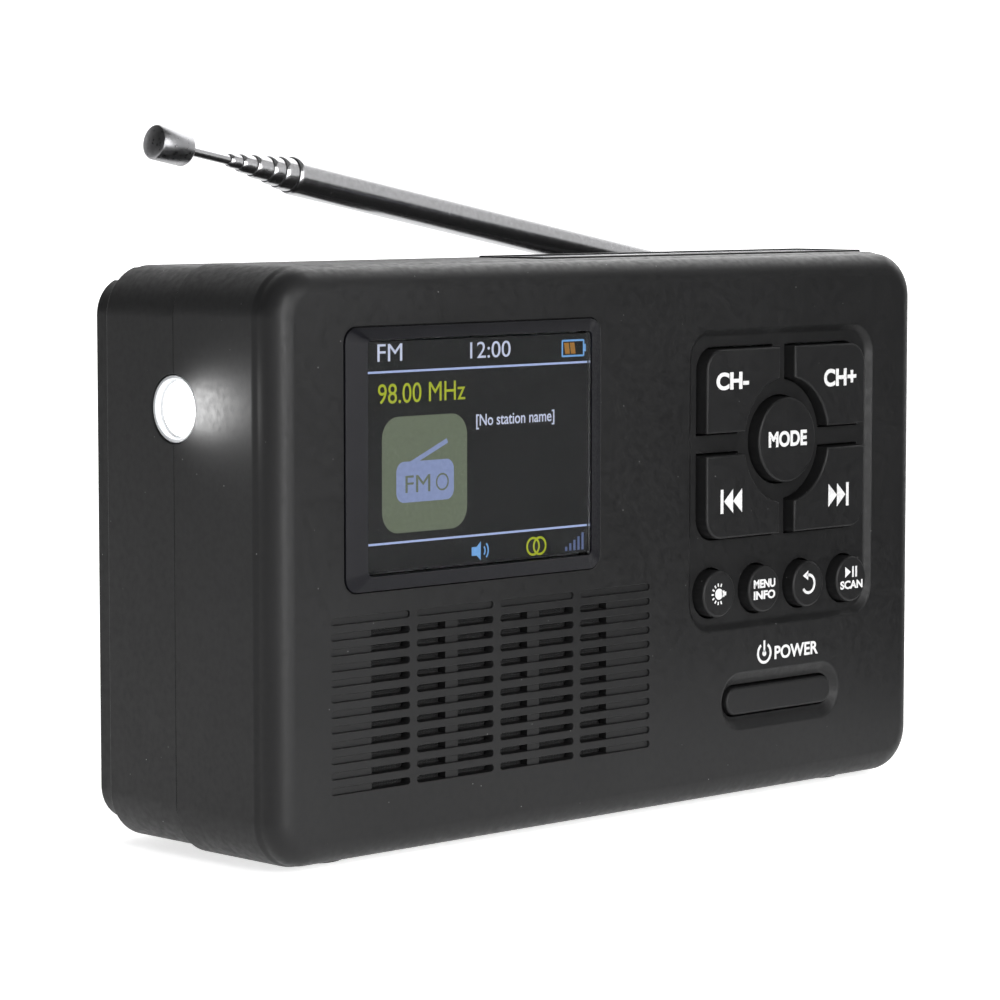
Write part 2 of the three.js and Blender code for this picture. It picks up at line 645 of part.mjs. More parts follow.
function jackSocket() {
  const sleeve = cylinderY(JACK_R, SOCKET_Y, JACK_END_Y, PORTS.jackX, PORTS.z, 16);
  return cut(sleeve, cylinderY(JACK_BORE_R, SOCKET_FLOOR_Y, REAR_Y + 1, PORTS.jackX, PORTS.z, 14));
}
add("usb_socket", usbSocket(), MATERIAL.steel);
add("headphone_socket", jackSocket(), MATERIAL.key);
add("socket_board", boardBox(SOCKET_BOARD), MATERIAL.board);

// ---------------------------------------------------------------- gears
// Straight-sided teeth, thinned so that a pair turns with backlash.
const ADDENDUM = 0.8; // in modules
const DEDENDUM = 1.15;
const ROOT_SHARE = 0.3; // half a tooth's width as a share of the pitch, at its root and at its tip
const TIP_SHARE = 0.09;
function gearShape(teeth, turn) {
  const pitch = (GEAR_MODULE * teeth) / 2;
  const tip = pitch + ADDENDUM * GEAR_MODULE;
  const root = pitch - DEDENDUM * GEAR_MODULE;
  const tooth = [[root, -ROOT_SHARE], [tip, -TIP_SHARE], [tip, TIP_SHARE], [root, ROOT_SHARE]];
  const step = (2 * Math.PI) / teeth;
  const points = [];
  for (let i = 0; i < teeth; i += 1) {
    const a = turn + i * step;
    for (const [r, share] of tooth) {
      points.push(new THREE.Vector2(r * Math.cos(a + share * step), r * Math.sin(a + share * step)));
    }
  }
  return new THREE.Shape(points);
}

function gearAt(teeth, turn, y0, x, z) {
  const solid = prism(gearShape(teeth, turn), y0, y0 + GEAR_THICK);
  return solid.translate([x, 0, z]);
}

const IDLER_X = CRANK_X;
const IDLER_Z = CRANK_Z - GEAR_CENTRES;
const generatorAngle = THREE.MathUtils.degToRad(GENERATOR_BEARING);
const GENERATOR_X = IDLER_X + GEAR_CENTRES * Math.cos(generatorAngle);
const GENERATOR_Z = IDLER_Z + GEAR_CENTRES * Math.sin(generatorAngle);
const SHAFT_R = 1.5;
const CRANK_SHAFT_R = 2.6;
const GENERATOR_SHAFT_R = 1;
const GENERATOR_R = 9;
const GENERATOR_FRONT_Y = 13;
const GEAR_PLATE = { left: -40, right: -4, bottom: 44.6, top: 88, corner: 3, thick: 1.2 };
const WHEEL_HUB = { r: 4, length: 1.4 };
const IDLER_SLEEVE_R = 2.4;
const FIT = 0.12; // radial play of a turning fit
const halfPinionTooth = Math.PI / PINION_TEETH;

// A hole right through the gears along y.
function throughHole(r, x, z, sides) {
  return cylinderY(r, GENERATOR_FRONT_Y, REAR_Y, x, z, sides);
}

// The crank wheel has a tooth pointing down at the idler, so the idler's pinion has a gap pointing up.
function crankWheel() {
  const wheel = gearAt(WHEEL_TEETH, -Math.PI / 2, STAGE_1_Y, CRANK_X, CRANK_Z);
  const hubStart = STAGE_1_Y + GEAR_THICK;
  const hub = cylinderY(WHEEL_HUB.r, hubStart, hubStart + WHEEL_HUB.length, CRANK_X, CRANK_Z, 16);
  return cut(join(wheel, hub), throughHole(CRANK_SHAFT_R + FIT, CRANK_X, CRANK_Z, 16));
}

// The idler carries a pinion driven by the crank wheel and a wheel that drives the generator's pinion.
function idler() {
  const pinionTurn = Math.PI / 2 + halfPinionTooth;
  const pinion = gearAt(PINION_TEETH, pinionTurn, STAGE_1_Y, IDLER_X, IDLER_Z);
  const wheel = gearAt(WHEEL_TEETH, generatorAngle, STAGE_2_Y, IDLER_X, IDLER_Z);
  const sleeve = cylinderY(IDLER_SLEEVE_R, STAGE_2_Y, STAGE_1_Y + GEAR_THICK, IDLER_X, IDLER_Z, 14);
  return cut(join(wheel, pinion, sleeve), throughHole(SHAFT_R + FIT, IDLER_X, IDLER_Z, 12));
}

function generatorPinion() {
  const turn = generatorAngle + Math.PI + halfPinionTooth;
  const pinion = gearAt(PINION_TEETH, turn, STAGE_2_Y, GENERATOR_X, GENERATOR_Z);
  const shaftStart = GEAR_PLATE_Y - 1;
  const shaft = cylinderY(GENERATOR_SHAFT_R, shaftStart, STAGE_2_Y + OVERLAP, GENERATOR_X, GENERATOR_Z, 12);
  return join(pinion, shaft);
}

function gearPlate() {
  const { left, right, bottom, top, corner, thick } = GEAR_PLATE;
  const plate = prism(roundedRect(left, right, bottom, top, corner, 3), GEAR_PLATE_Y, GEAR_PLATE_Y + thick);
  const axleEnd = STAGE_1_Y + GEAR_THICK + 1.5;
  const axle = cylinderY(SHAFT_R, GEAR_PLATE_Y + OVERLAP, axleEnd, IDLER_X, IDLER_Z, 12);
  const shaftHole = throughHole(CRANK_SHAFT_R + 0.15, CRANK_X, CRANK_Z, 16);
  const pinionHole = throughHole(GENERATOR_SHAFT_R + 0.6, GENERATOR_X, GENERATOR_Z, 12);
  return cut(join(plate, axle), shaftHole, pinionHole);
}

function generator() {
  const can = cylinderY(GENERATOR_R, GENERATOR_FRONT_Y, GEAR_PLATE_Y - CLEAR, GENERATOR_X, GENERATOR_Z, 20);
  const mouth = cylinderY(GENERATOR_SHAFT_R + 0.4, GEAR_PLATE_Y - 1.5, REAR_Y, GENERATOR_X, GENERATOR_Z, 12);
  return cut(can, mouth);
}

add("crank_wheel", crankWheel(), MATERIAL.white);
add("idler_gear", idler(), MATERIAL.white);
add("generator_pinion", generatorPinion(), MATERIAL.steel);
add("gear_plate", gearPlate(), MATERIAL.steel);
add("generator", generator(), MATERIAL.steel);

// ---------------------------------------------------------------- crank
// The arm lies to the left of the hub, in a group turned up by the arm's lift.
// Its slot holds the folded grip.
const crank = new THREE.Group();
crank.position.set(CRANK_X, 0, CRANK_Z);
crank.rotation.y = THREE.MathUtils.degToRad(ARM_LIFT);
assembly.add(crank);

const PIN_X = -CRANK_R;
const PIN_R = 0.8;
const ARM_MID_Y = (ARM_FRONT_Y + ARM_REAR_Y) / 2;
const ARM_END = PIN_X - 5;
const HUB_CAP = 1.2; // what is left of the hub over the shaft's end
const ARM_END_CORNER = 1.6;
const HUB_R = 8.6;
const GRIP_R = 1.9;

function pinHole() {
  return cylinderZ(PIN_R + FIT, -2 * ARM_HALF_W, 2 * ARM_HALF_W, PIN_X, ARM_MID_Y, 10);
}

function crankArm() {
  const hub = cylinderY(HUB_R, ARM_FRONT_Y, ARM_REAR_Y, 0, 0, 24);
  const bar = roundedRect(ARM_END, 0, -ARM_HALF_W, ARM_HALF_W, ARM_END_CORNER, 4);
  const slotHalfW = GRIP_HALF_W + CLEAR;
  const slotStart = PIN_X - GRIP_R - CLEAR;
  const slotEnd = PIN_X + GRIP_L + 2 * CLEAR;
  const slot = box(slotStart, slotEnd, ARM_FRONT_Y - 1, ARM_REAR_Y + 1, -slotHalfW, slotHalfW);
  const shaftHole = cylinderY(CRANK_SHAFT_R + FIT, ARM_FRONT_Y - 1, ARM_REAR_Y - HUB_CAP, 0, 0, 16);
  return cut(join(prism(bar, ARM_FRONT_Y, ARM_REAR_Y), hub), slot, pinHole(), shaftHole);
}

function crankGrip() {
  const knuckle = cylinderZ(GRIP_R, -GRIP_HALF_W, GRIP_HALF_W, PIN_X, ARM_MID_Y, 16);
  const bar = box(PIN_X, PIN_X + GRIP_L, ARM_MID_Y - GRIP_R, ARM_MID_Y + GRIP_R, -GRIP_HALF_W, GRIP_HALF_W);
  return cut(join(bar, knuckle), pinHole());
}

const PIN_HALF_L = ARM_HALF_W - CLEAR;
const SHAFT_FRONT_Y = GEAR_PLATE_Y - 0.4;
const SHAFT_REAR_Y = ARM_REAR_Y - HUB_CAP - 0.2;
const gripPin = cylinderZ(PIN_R, -PIN_HALF_L, PIN_HALF_L, PIN_X, ARM_MID_Y, 10);
add("crank_shaft", cylinderY(CRANK_SHAFT_R, SHAFT_FRONT_Y, SHAFT_REAR_Y, 0, 0, 16), MATERIAL.steel, crank);
add("crank_arm", crankArm(), MATERIAL.key, crank);
add("crank_grip", crankGrip(), MATERIAL.key, crank);
add("crank_grip_pin", gripPin, MATERIAL.steel, crank);

// ---------------------------------------------------------------- aerial
// Modelled pointing along -x from its pivot, in a group turned up by the aerial's tilt.
const aerial = new THREE.Group();
aerial.position.set(AERIAL_X, AERIAL_Y, AERIAL_Z);
aerial.rotation.y = THREE.MathUtils.degToRad(AERIAL_TILT);
assembly.add(aerial);

// A turned profile of [radius, distance from the pivot] pairs, laid along -x.
function aerialLathe(profile, sides) {
  const geometry = latheY(profile, sides);
  geometry.rotateZ(Math.PI / 2);
  return geometry;
}

function aerialTube(outer, start, end, wall, lip) {
  const inner = outer - wall;
  const mouth = inner - lip;
  const rim = 0.5;
  return aerialLathe(
    [
      [outer, start], [outer, end - rim], [outer - lip, end], [mouth, end], [inner, end - rim],
      [inner, start], [outer, start],
    ],
    16,
  );
}

const sectionEnds = SECTION_SHOW.reduce((ends, show) => [...ends, ends[ends.length - 1] + show], [MAST_END]);
const MAST_START = 5.2;
const MAST_WALL = 0.3;
const PLUG_LENGTH = 6;
const TANG_HALF_W = 2.2;
const AERIAL_HEAD = { r: 2.2, from: 1.2, to: 2.4 }; // distances behind the aerial's own line

function mast() {
  const tube = toSolid(aerialTube(SECTION_R[0], MAST_START, MAST_END, MAST_WALL, 0.06));
  const plug = cylinderX(SECTION_R[0] - MAST_WALL - 0.05, -MAST_START - PLUG_LENGTH, -MAST_START, 0, 0, 16);
  const collar = cylinderX(SECTION_R[0] - 0.02, -MAST_START - 1, -TANG_R + 1, 0, 0, 16);
  const tang = cylinderY(TANG_R, -TANG_HALF_W, TANG_HALF_W, 0, 0, 20);
  const screwHole = cylinderY(AERIAL_SCREW_R + FIT, -TANG_R, TANG_R, 0, 0, 12);
  const screwHead = cylinderY(AERIAL_HEAD.r + 0.2, AERIAL_HEAD.from - 0.2, TANG_R, 0, 0, 14);
  return cut(join(tube, plug, collar, tang), screwHole, screwHead);
}

add("aerial_mast", mast(), MATERIAL.chrome, aerial);
const FIRST_SECTION_START = MAST_START + PLUG_LENGTH + 1;
const SECTION_STAGGER = 1.5;
for (let i = 1; i < SECTION_R.length - 1; i += 1) {
  const start = FIRST_SECTION_START + i * SECTION_STAGGER;
  const tube = aerialTube(SECTION_R[i], start, sectionEnds[i], SECTION_WALL, 0.04);
  add(`aerial_section_${i + 1}`, tube, MATERIAL.chrome, aerial);
}
const ROD_R = SECTION_R[SECTION_R.length - 1];
const ROD_START = 23.2;
const TIP_EDGE = 0.5;
const rodEnd = AERIAL_LENGTH - TIP_L;
add(
  "aerial_rod",
  cylinderX(ROD_R, -(rodEnd + 2), -ROD_START, 0, 0, 12),
  MATERIAL.chrome,
  aerial,
);
const TIP_BORE = { r: ROD_R + 0.1, end: rodEnd + 2.3 };
const TIP = [
  [TIP_BORE.r, rodEnd], [TIP_R - TIP_EDGE, rodEnd], [TIP_R, rodEnd + TIP_EDGE],
  [TIP_R, AERIAL_LENGTH - TIP_EDGE], [TIP_R - TIP_EDGE, AERIAL_LENGTH], [0, AERIAL_LENGTH],
  [0, TIP_BORE.end], [TIP_BORE.r, TIP_BORE.end], [TIP_BORE.r, rodEnd],
];
add("aerial_tip", aerialLathe(TIP, 20), MATERIAL.chrome, aerial);

// The shoulder screw is the aerial's pivot: it runs forwards into the pocket's front wall.
function aerialScrew() {
  const { r, from, to } = AERIAL_HEAD;
  const head = cylinderY(r, AERIAL_Y + from, AERIAL_Y + to, AERIAL_X, AERIAL_Z, 14);
  const shankStart = AERIAL_POCKET.front - 5;
  return join(head, cylinderY(AERIAL_SCREW_R, shankStart, AERIAL_Y + from + 0.3, AERIAL_X, AERIAL_Z, 12));
}
add("aerial_screw", aerialScrew(), MATERIAL.steel);

// ---------------------------------------------------------------- part frame
// The origin is on the resting plane, under the middle of the whole object's box.
const FRONT_MOST_Y = -BEZEL_RISE;
assembly.position.set(-(CASE.left + CASE.right) / 2, -(FRONT_MOST_Y + ARM_REAR_Y) / 2, FOOT_H);
const radio = new THREE.Group();
radio.add(assembly);

export default radio;
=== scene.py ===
import json
import math

import bmesh
import bpy
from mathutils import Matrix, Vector

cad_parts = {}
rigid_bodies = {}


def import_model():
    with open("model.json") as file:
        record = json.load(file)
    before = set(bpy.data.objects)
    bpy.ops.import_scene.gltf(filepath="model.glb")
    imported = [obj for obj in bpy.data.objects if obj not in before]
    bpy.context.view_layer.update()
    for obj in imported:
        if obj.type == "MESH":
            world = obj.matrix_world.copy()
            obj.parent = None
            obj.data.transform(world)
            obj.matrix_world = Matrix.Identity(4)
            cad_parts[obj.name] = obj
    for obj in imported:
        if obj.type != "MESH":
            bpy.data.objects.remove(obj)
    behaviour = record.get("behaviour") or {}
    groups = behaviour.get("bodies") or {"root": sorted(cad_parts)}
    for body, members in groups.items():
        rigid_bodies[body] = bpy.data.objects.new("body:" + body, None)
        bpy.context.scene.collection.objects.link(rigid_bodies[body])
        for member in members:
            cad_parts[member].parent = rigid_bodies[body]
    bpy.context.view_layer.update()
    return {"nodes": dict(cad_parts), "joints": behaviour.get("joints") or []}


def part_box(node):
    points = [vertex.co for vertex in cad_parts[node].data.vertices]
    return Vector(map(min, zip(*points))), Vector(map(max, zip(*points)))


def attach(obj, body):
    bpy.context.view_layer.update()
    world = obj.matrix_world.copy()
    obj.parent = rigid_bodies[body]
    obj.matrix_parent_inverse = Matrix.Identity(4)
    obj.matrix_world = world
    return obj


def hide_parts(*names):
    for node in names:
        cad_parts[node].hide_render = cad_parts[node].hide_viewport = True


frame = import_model()

# A portable radio in a matte black case. Outlines are written in millimetres in the case's own frame:
# x to the right as the user faces it, y from the flat front face to the rear, z up from the underside.
MM = 0.001
CASE_LEFT = -77.1
ORIGIN_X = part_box("front_shell")[0].x - CASE_LEFT * MM
FACE_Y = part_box("front_shell")[0].y
BASE_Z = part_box("rear_shell")[0].z


def at(x, y, z):
    """A point of the case's frame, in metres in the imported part's frame."""
    return Vector((ORIGIN_X + x * MM, FACE_Y + y * MM, BASE_Z + z * MM))


def to_case(point):
    """The inverse of at()."""
    return Vector(((point.x - ORIGIN_X) / MM, (point.y - FACE_Y) / MM, (point.z - BASE_Z) / MM))


def case_box(node):
    """A CAD node's box in the case's frame, in millimetres."""
    low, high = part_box(node)
    return to_case(low), to_case(high)


def centre_of(node):
    """The centre of a CAD node as (x, z), seen from the front."""
    low, high = case_box(node)
    return (low.x + high.x) / 2, (low.z + high.z) / 2


def joint(name):
    return next(j for j in frame["joints"] if j["name"] == name)


# ---- case dimensions
# A rectangle is (left, right, bottom, top, corner radius).
CASE_LOW, CASE_HIGH = case_box("front_shell")
CASE_RIGHT = CASE_HIGH.x
CASE_H = case_box("rear_shell")[1].z
FRONT_PROUD = (-CASE_LOW.z, CASE_HIGH.z - CASE_H)  # how far the front shell stands out below and above
PARTING_Y = (CASE_HIGH.y + case_box("rear_shell")[0].y) / 2
REAR_Y = case_box("rear_shell")[1].y
SOLAR_GAP = 0.3
SEAM = 0.06
SEAM_BREAK = 0.06  # how far the broken edge beside the seam reaches
CASE_CORNER = 8.0
WALL = 2.0
SHOULDER_Y = 4.2
SHOULDER_STEP = 0.3
SHOULDER_BACK = 1.2  # the soft shoulder starts this far behind SHOULDER_Y
SHOULDER_RUN = 1.5
SHOULDER_STEPS = 8
FRONT_FILLET = 3.9
REAR_STEP_Y = 40.7
REAR_STEP = 2.0
REAR_FILLET = 0.6
REAR_EDGE = 0.25  # radius of the two small edges at the rear step
CORNER_STEPS = 16
FILLET_STEPS = 14
AERIAL_POCKET = (-71.5, 69.0, 39.6, 83.1)  # left, right, front and floor

PAD_X, CROSS_Z = centre_of("key_mode")
PAD = (15.2, 62.0, 28.9, 79.9, 5.0)
PAD_DEPTH = 1.0
CROSS_HALF_W = 20.4
CROSS_HALF_H = 16.1
CROSS_CHANNEL = 1.9
CROSS_RING = 10.8
CROSS_CORNER = 3.6
MODE_R = 7.35
SMALL_KEY_R = 4.0
POWER_HALF_W = 13.5
POWER_HALF_H = 2.4
POWER_Z = centre_of("key_power")[1]
POWER_FLOOR = 1.15  # depth of the dish that the power key stands in
KEY_GAP = 0.35
KEY_FACE_Y = case_box("key_mode")[0].y
KEY_BACK_Y = case_box("key_mode")[1].y
POWER_FACE_Y = case_box("key_power")[0].y

GRILLE_COLUMNS = [(-65.8, -49.2), (-47.7, -30.95), (-29.4, -12.7), (-11.2, 5.4)]
GRILLE_ROWS = 12
GRILLE_LOW_Z = 10.65
GRILLE_PITCH = 2.406
SLOT_H = 1.1
GROOVE_DEPTH = 0.45
GRILLE_OPEN = (-57.05, -4.6)  # between these the slots are cut right through
GRILLE_BARS = [(-41.2, -38.5), (-22.95, -20.25)]

BEZEL_LOW, BEZEL_HIGH = case_box("display_bezel")
LENS_LOW, LENS_HIGH = case_box("display_lens")
BEZEL_RECT = (BEZEL_LOW.x, BEZEL_HIGH.x, BEZEL_LOW.z, BEZEL_HIGH.z, 2.4)
WINDOW_RECT = (LENS_LOW.x - 0.15, LENS_HIGH.x + 0.15, LENS_LOW.z - 0.15, LENS_HIGH.z + 0.15, 0.9)

TORCH_LOW, TORCH_HIGH = case_box("torch_lens")
TORCH_Z = (TORCH_LOW.z + TORCH_HIGH.z) / 2
TORCH_HOLE_R = (TORCH_HIGH.z - TORCH_LOW.z) / 2 + 0.3


# ---- mesh helpers
SHARP_ANGLE = 32
MERGE_DISTANCE = 1e-7


def new_object(name, data):
    """A linked object."""
    obj = bpy.data.objects.new(name, data)
    bpy.context.scene.collection.objects.link(obj)
    return obj


def mesh_object(name, bm):
    """A linked object from bm, which is used up."""
    mesh = bpy.data.meshes.new(name)
    bm.to_mesh(mesh)
    bm.free()
    return new_object(name, mesh)


def finish_mesh(bm, name, sharp=SHARP_ANGLE):
    """A linked object from bm: outward faces, smooth shading, and sharp edges above an angle."""
    bmesh.ops.remove_doubles(bm, verts=bm.verts, dist=MERGE_DISTANCE)
    bmesh.ops.recalc_face_normals(bm, faces=bm.faces)
    obj = mesh_object(name, bm)
    shade(obj, sharp)
    return obj


def shade(obj, sharp=SHARP_ANGLE):
    obj.data.shade_smooth()
    obj.data.set_sharp_from_angle(angle=math.radians(sharp))


def keep_flat(obj):
    """Lets large faces set the shading, so that they look flat up to their rounded edges."""
    obj.modifiers.new("flat faces stay flat", "WEIGHTED_NORMAL").keep_sharp = True


def band(bm, low, high):
    """The faces between two rings of vertices, either of which may be a single point."""
    count = max(len(low), len(high))
    for i in range(count if count > 1 else 0):
        j = (i + 1) % count
        if len(low) == 1:
            bm.faces.new((low[0], high[j], high[i]))
        elif len(high) == 1:
            bm.faces.new((low[i], low[j], high[0]))
        else:
            bm.faces.new((low[i], low[j], high[j], high[i]))


def loft(name, rings, ring_closed=False, sharp=SHARP_ANGLE):
    """A closed solid through rings of equal point counts: capped at both ends, or joined round as a frame."""
    bm = bmesh.new()
    rows = [[bm.verts.new(p) for p in ring] for ring in rings]
    pairs = list(zip(rows, rows[1:]))
    if ring_closed:
        pairs.append((rows[-1], rows[0]))
    for low, high in pairs:
        band(bm, low, high)
    if not ring_closed:
        bm.faces.new(rows[0][::-1])
        bm.faces.new(rows[-1])
    return finish_mesh(bm, name, sharp)


def on_circle(cx, cz, r, turn):
    """The points of a circle at these angles, in radians."""
    return [(cx + r * math.cos(a), cz + r * math.sin(a)) for a in turn]


def rect_outline(left, right, bottom, top, r, steps=CORNER_STEPS):
    """A rounded rectangle as (x, z) points."""
    corners = [
        (right - r, bottom + r, -90),
        (right - r, top - r, 0),
        (left + r, top - r, 90),
        (left + r, bottom + r, 180),
    ]
    points = []
    for cx, cz, start in corners:
        points += on_circle(cx, cz, r, [math.radians(start + 90 * i / steps) for i in range(steps + 1)])
    return points


def grown_rect(rect, grow, steps=CORNER_STEPS):
    left, right, bottom, top, r = rect
    return rect_outline(left - grow, right + grow, bottom - grow, top + grow, max(r + grow, 0.05), steps)


def disc_outline(x, z, r, steps=64):
    return on_circle(x, z, r, [2 * math.pi * i / steps for i in range(steps)])


def ring(outline, y):
    return [at(x, y, z) for x, z in outline]


def quarter(r, steps):
    """A rounded edge from side to face: how far it has come in, and how far it still is from the face."""
    turn = [math.pi / 2 * i / steps for i in range(steps + 1)]
    return [(r * (1 - math.cos(a)), r * (1 - math.sin(a))) for a in turn]


def joined(name, objects):
    """One object holding all these separate solids."""
    bm = bmesh.new()
    for obj in objects:
        bm.from_mesh(obj.data)
        remove(obj)
    return mesh_object(name, bm)


def remove(obj):
    bpy.data.objects.remove(obj, do_unlink=True)


def combine(obj, steps):
    """Applies booleans in order: (operation, tool) pairs, whose tools are then removed."""
    for operation, tool in steps:
        mod = obj.modifiers.new("combine", "BOOLEAN")
        mod.operation = operation
        mod.object = tool
        mod.solver = "MANIFOLD"
    bpy.context.view_layer.update()
    evaluated = obj.evaluated_get(bpy.context.evaluated_depsgraph_get())
    mesh = bpy.data.meshes.new_from_object(evaluated)
    obj.modifiers.clear()
    obj.data = mesh
    for _, tool in steps:
        remove(tool)
    shade(obj)
    keep_flat(obj)


def block(name, x0, x1, y0, y1, z0, z1, bevel=0.0):
    """A box in the case's frame with its edges rounded."""
    bm = bmesh.new()
    corners = [at(x, y, z) for x in (x0, x1) for y in (y0, y1) for z in (z0, z1)]
    verts = [bm.verts.new(p) for p in corners]
    for face in ((0, 1, 3, 2), (4, 6, 7, 5), (0, 4, 5, 1), (2, 3, 7, 6), (0, 2, 6, 4), (1, 5, 7, 3)):
        bm.faces.new([verts[i] for i in face])
    if bevel:
        edges = list(bm.edges)
        bmesh.ops.bevel(bm, geom=edges, offset=bevel * MM, segments=3, profile=0.5, affect="EDGES")
    return finish_mesh(bm, name)


def turned(name, profile, place, closed=False, sides=64):
    """A solid of revolution: (radius, height) pairs, with place(u, v, h) giving each point."""
    bm = bmesh.new()
    rows = []
    for r, h in profile:
        around = on_circle(0, 0, r, [2 * math.pi * i / sides for i in range(sides)]) if r > 0 else [(0, 0)]
        rows.append([bm.verts.new(place(u, v, h)) for u, v in around])
    pairs = list(zip(rows, rows[1:]))
    if closed:
        pairs.append((rows[-1], rows[0]))
    for low, high in pairs:
        band(bm, low, high)
    return finish_mesh(bm, name)


def along_y(x, z):
    """Turned pieces whose axis runs to the rear."""
    return lambda u, v, h: at(x + u, h, z + v)


def along_x(y, z):
    return lambda u, v, h: at(h, y + u, z + v)


def along_z(x, y):
    return lambda u, v, h: at(x + u, y + v, h)


def install(obj, body, material, slot, *nodes):
    """Gives a piece its material, its body and the CAD nodes that it stands for. The slot argument, its
    finish, is not used.
    """
    obj.data.materials.clear()
    obj.data.materials.append(material)
    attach(obj, body)
    if nodes:
        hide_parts(*nodes)
    return obj


# ---- materials
def put(node, values):
    """Fills a node's inputs by name or number: an output is linked, and anything else is set."""
    for name, value in values.items():
        if isinstance(value, bpy.types.NodeSocket):
            node.id_data.links.new(value, node.inputs[name])
        else:
            node.inputs[name].default_value = value


def new_node(tree, kind, values):
    node = tree.nodes.new(f"ShaderNode{kind}")
    put(node, values)
    return node


def new_material(name):
    """A material with its node tree and the object's own coordinates."""
    material = bpy.data.materials.new(name)
    material.use_nodes = True
    tree = material.node_tree
    coords = new_node(tree, "TexCoord", {}).outputs["Object"]
    return material, tree, coords


def filled(material, values):
    put(material.node_tree.nodes["Principled BSDF"], values)
    return material


def noise(tree, coords, scale, detail=3.0, roughness=0.5):
    values = {"Scale": scale, "Detail": detail, "Roughness": roughness, "Vector": coords}
    return new_node(tree, "TexNoise", values).outputs["Fac"]


def ramp(tree, value, stops):
    """A colour ramp with (position, grey or colour) stops."""
    node = new_node(tree, "ValToRGB", {"Fac": value})
    elements = node.color_ramp.elements
    while len(elements) < len(stops):
        elements.new(0.5)
    for element, (position, colour) in zip(elements, stops):
        element.position = position
        rgb = (colour,) * 3 if isinstance(colour, float) else colour
        element.color = (*rgb, 1)
    return node.outputs["Color"]


def shades(tree, value, colour, stops):
    """A ramp through darker and lighter shades of one colour, with (position, factor) stops."""
    return ramp(tree, value, [(position, tuple(c * k for c in colour)) for position, k in stops])


def bump(tree, height, strength, distance, normal=None):
    values = {"Strength": strength, "Distance": distance, "Height": height}
    if normal is not None:
        values["Normal"] = normal
    return new_node(tree, "Bump", values).outputs["Normal"]


def maths(tree, operation, *values):
    node = tree.nodes.new("ShaderNodeMath")
    node.operation = operation
    put(node, dict(enumerate(values)))
    return node.outputs["Value"]


def mixed(tree, factor, first, second):
    """One colour where factor is 0 and another where it is 1."""
    node = tree.nodes.new("ShaderNodeMix")
    node.data_type = "RGBA"
    put(node, {"Factor": factor, "A": first, "B": second})
    return node.outputs["Result"]


def matte_plastic(name, colour, roughness, grain=0.3):
    """Moulded plastic with a fine spark-eroded grain, uneven polish and a few specks of dust."""
    material, tree, coords = new_material(name)
    fine = noise(tree, coords, 3200, 4)
    coarse = noise(tree, coords, 900, 2)
    cloud = noise(tree, coords, 28, 3)
    tone = shades(tree, cloud, colour, [(0.3, 0.86), (0.5, 1.0), (0.7, 1.16)])
    speckle = new_node(tree, "TexVoronoi", {"Scale": 300, "Vector": coords})
    dust = ramp(tree, speckle.outputs["Distance"], [(0.0, 1.0), (0.04, 0.0)])
    broad = bump(tree, coarse, grain * 0.3, 0.00003)
    return filled(material, {
        "Base Color": mixed(tree, dust, tone, (0.3, 0.3, 0.3, 1)),
        "Roughness": ramp(tree, coarse, [(0.3, roughness - 0.06), (0.7, roughness + 0.08)]),
        "Specular IOR Level": 0.28,
        "Normal": bump(tree, fine, grain, 0.00003, broad),
    })


def gloss_plastic(name, colour, roughness, specular=0.5):
    """Smooth moulded plastic with faint waviness and fine handling marks."""
    material, tree, coords = new_material(name)
    wave = noise(tree, coords, 120, 2)
    marks = noise(tree, coords, 2600, 3)
    return filled(material, {
        "Base Color": shades(tree, wave, colour, [(0.3, 0.9), (0.7, 1.1)]),
        "Roughness": ramp(tree, marks, [(0.35, roughness * 0.8), (0.7, roughness * 1.3)]),
        "Specular IOR Level": specular,
        "Normal": bump(tree, marks, 0.05, 0.00002),
    })


def metal(name, colour, roughness, strength=0.06):
    """Metal with fine marks."""
    material, tree, coords = new_material(name)
    marks = noise(tree, coords, 1500, 4)
    return filled(material, {
        "Base Color": shades(tree, marks, colour, [(0.3, 0.88), (0.65, 1.0)]),
        "Roughness": ramp(tree, marks, [(0.3, roughness * 0.85), (0.75, roughness * 1.25)]),
        "Metallic": 1,
        "Normal": bump(tree, marks, strength, 0.00002),
    })


def rubber(name, colour):
    material, tree, coords = new_material(name)
    grain = noise(tree, coords, 2200, 5)
    return filled(material, {
        "Base Color": shades(tree, grain, colour, [(0.3, 0.8), (0.7, 1.25)]),
        "Roughness": ramp(tree, grain, [(0.3, 0.7), (0.7, 0.92)]),
        "Specular IOR Level": 0.3,
        "Normal": bump(tree, grain, 0.4, 0.00005),
    })


def woven_cloth(name, colour):
    """Acoustic cloth: a fine plain weave with loose fibres."""
    material, tree, coords = new_material(name)
    heights = []
    for direction in ("X", "Z"):
        wave = new_node(tree, "TexWave", {"Scale": 900, "Distortion": 2.5, "Detail": 1, "Vector": coords})
        wave.bands_direction = direction
        heights.append(wave.outputs["Fac"])
    fibres = noise(tree, coords, 1400, 6, 0.7)
    return filled(material, {
        "Base Color": shades(tree, fibres, colour, [(0.35, 0.5), (0.6, 1.0), (0.78, 5.0)]),
        "Roughness": 0.95,
        "Sheen Weight": 0.15,
        "Normal": bump(tree, maths(tree, "MULTIPLY", *heights), 0.8, 0.00012),
    })


def glowing(name, colour, strength):
    """A lit area of the display, with the panel's own fine pixel grid in its brightness."""
    material, tree, coords = new_material(name)
    grid = noise(tree, coords, 1500, 2)
    return filled(material, {
        "Emission Color": shades(tree, grid, colour, [(0.35, 0.94), (0.65, 1.05)]),
        "Emission Strength": strength,
        "Base Color": (0.01, 0.01, 0.01, 1),
        "Roughness": 0.5,
        "Specular IOR Level": 0.1,
    })


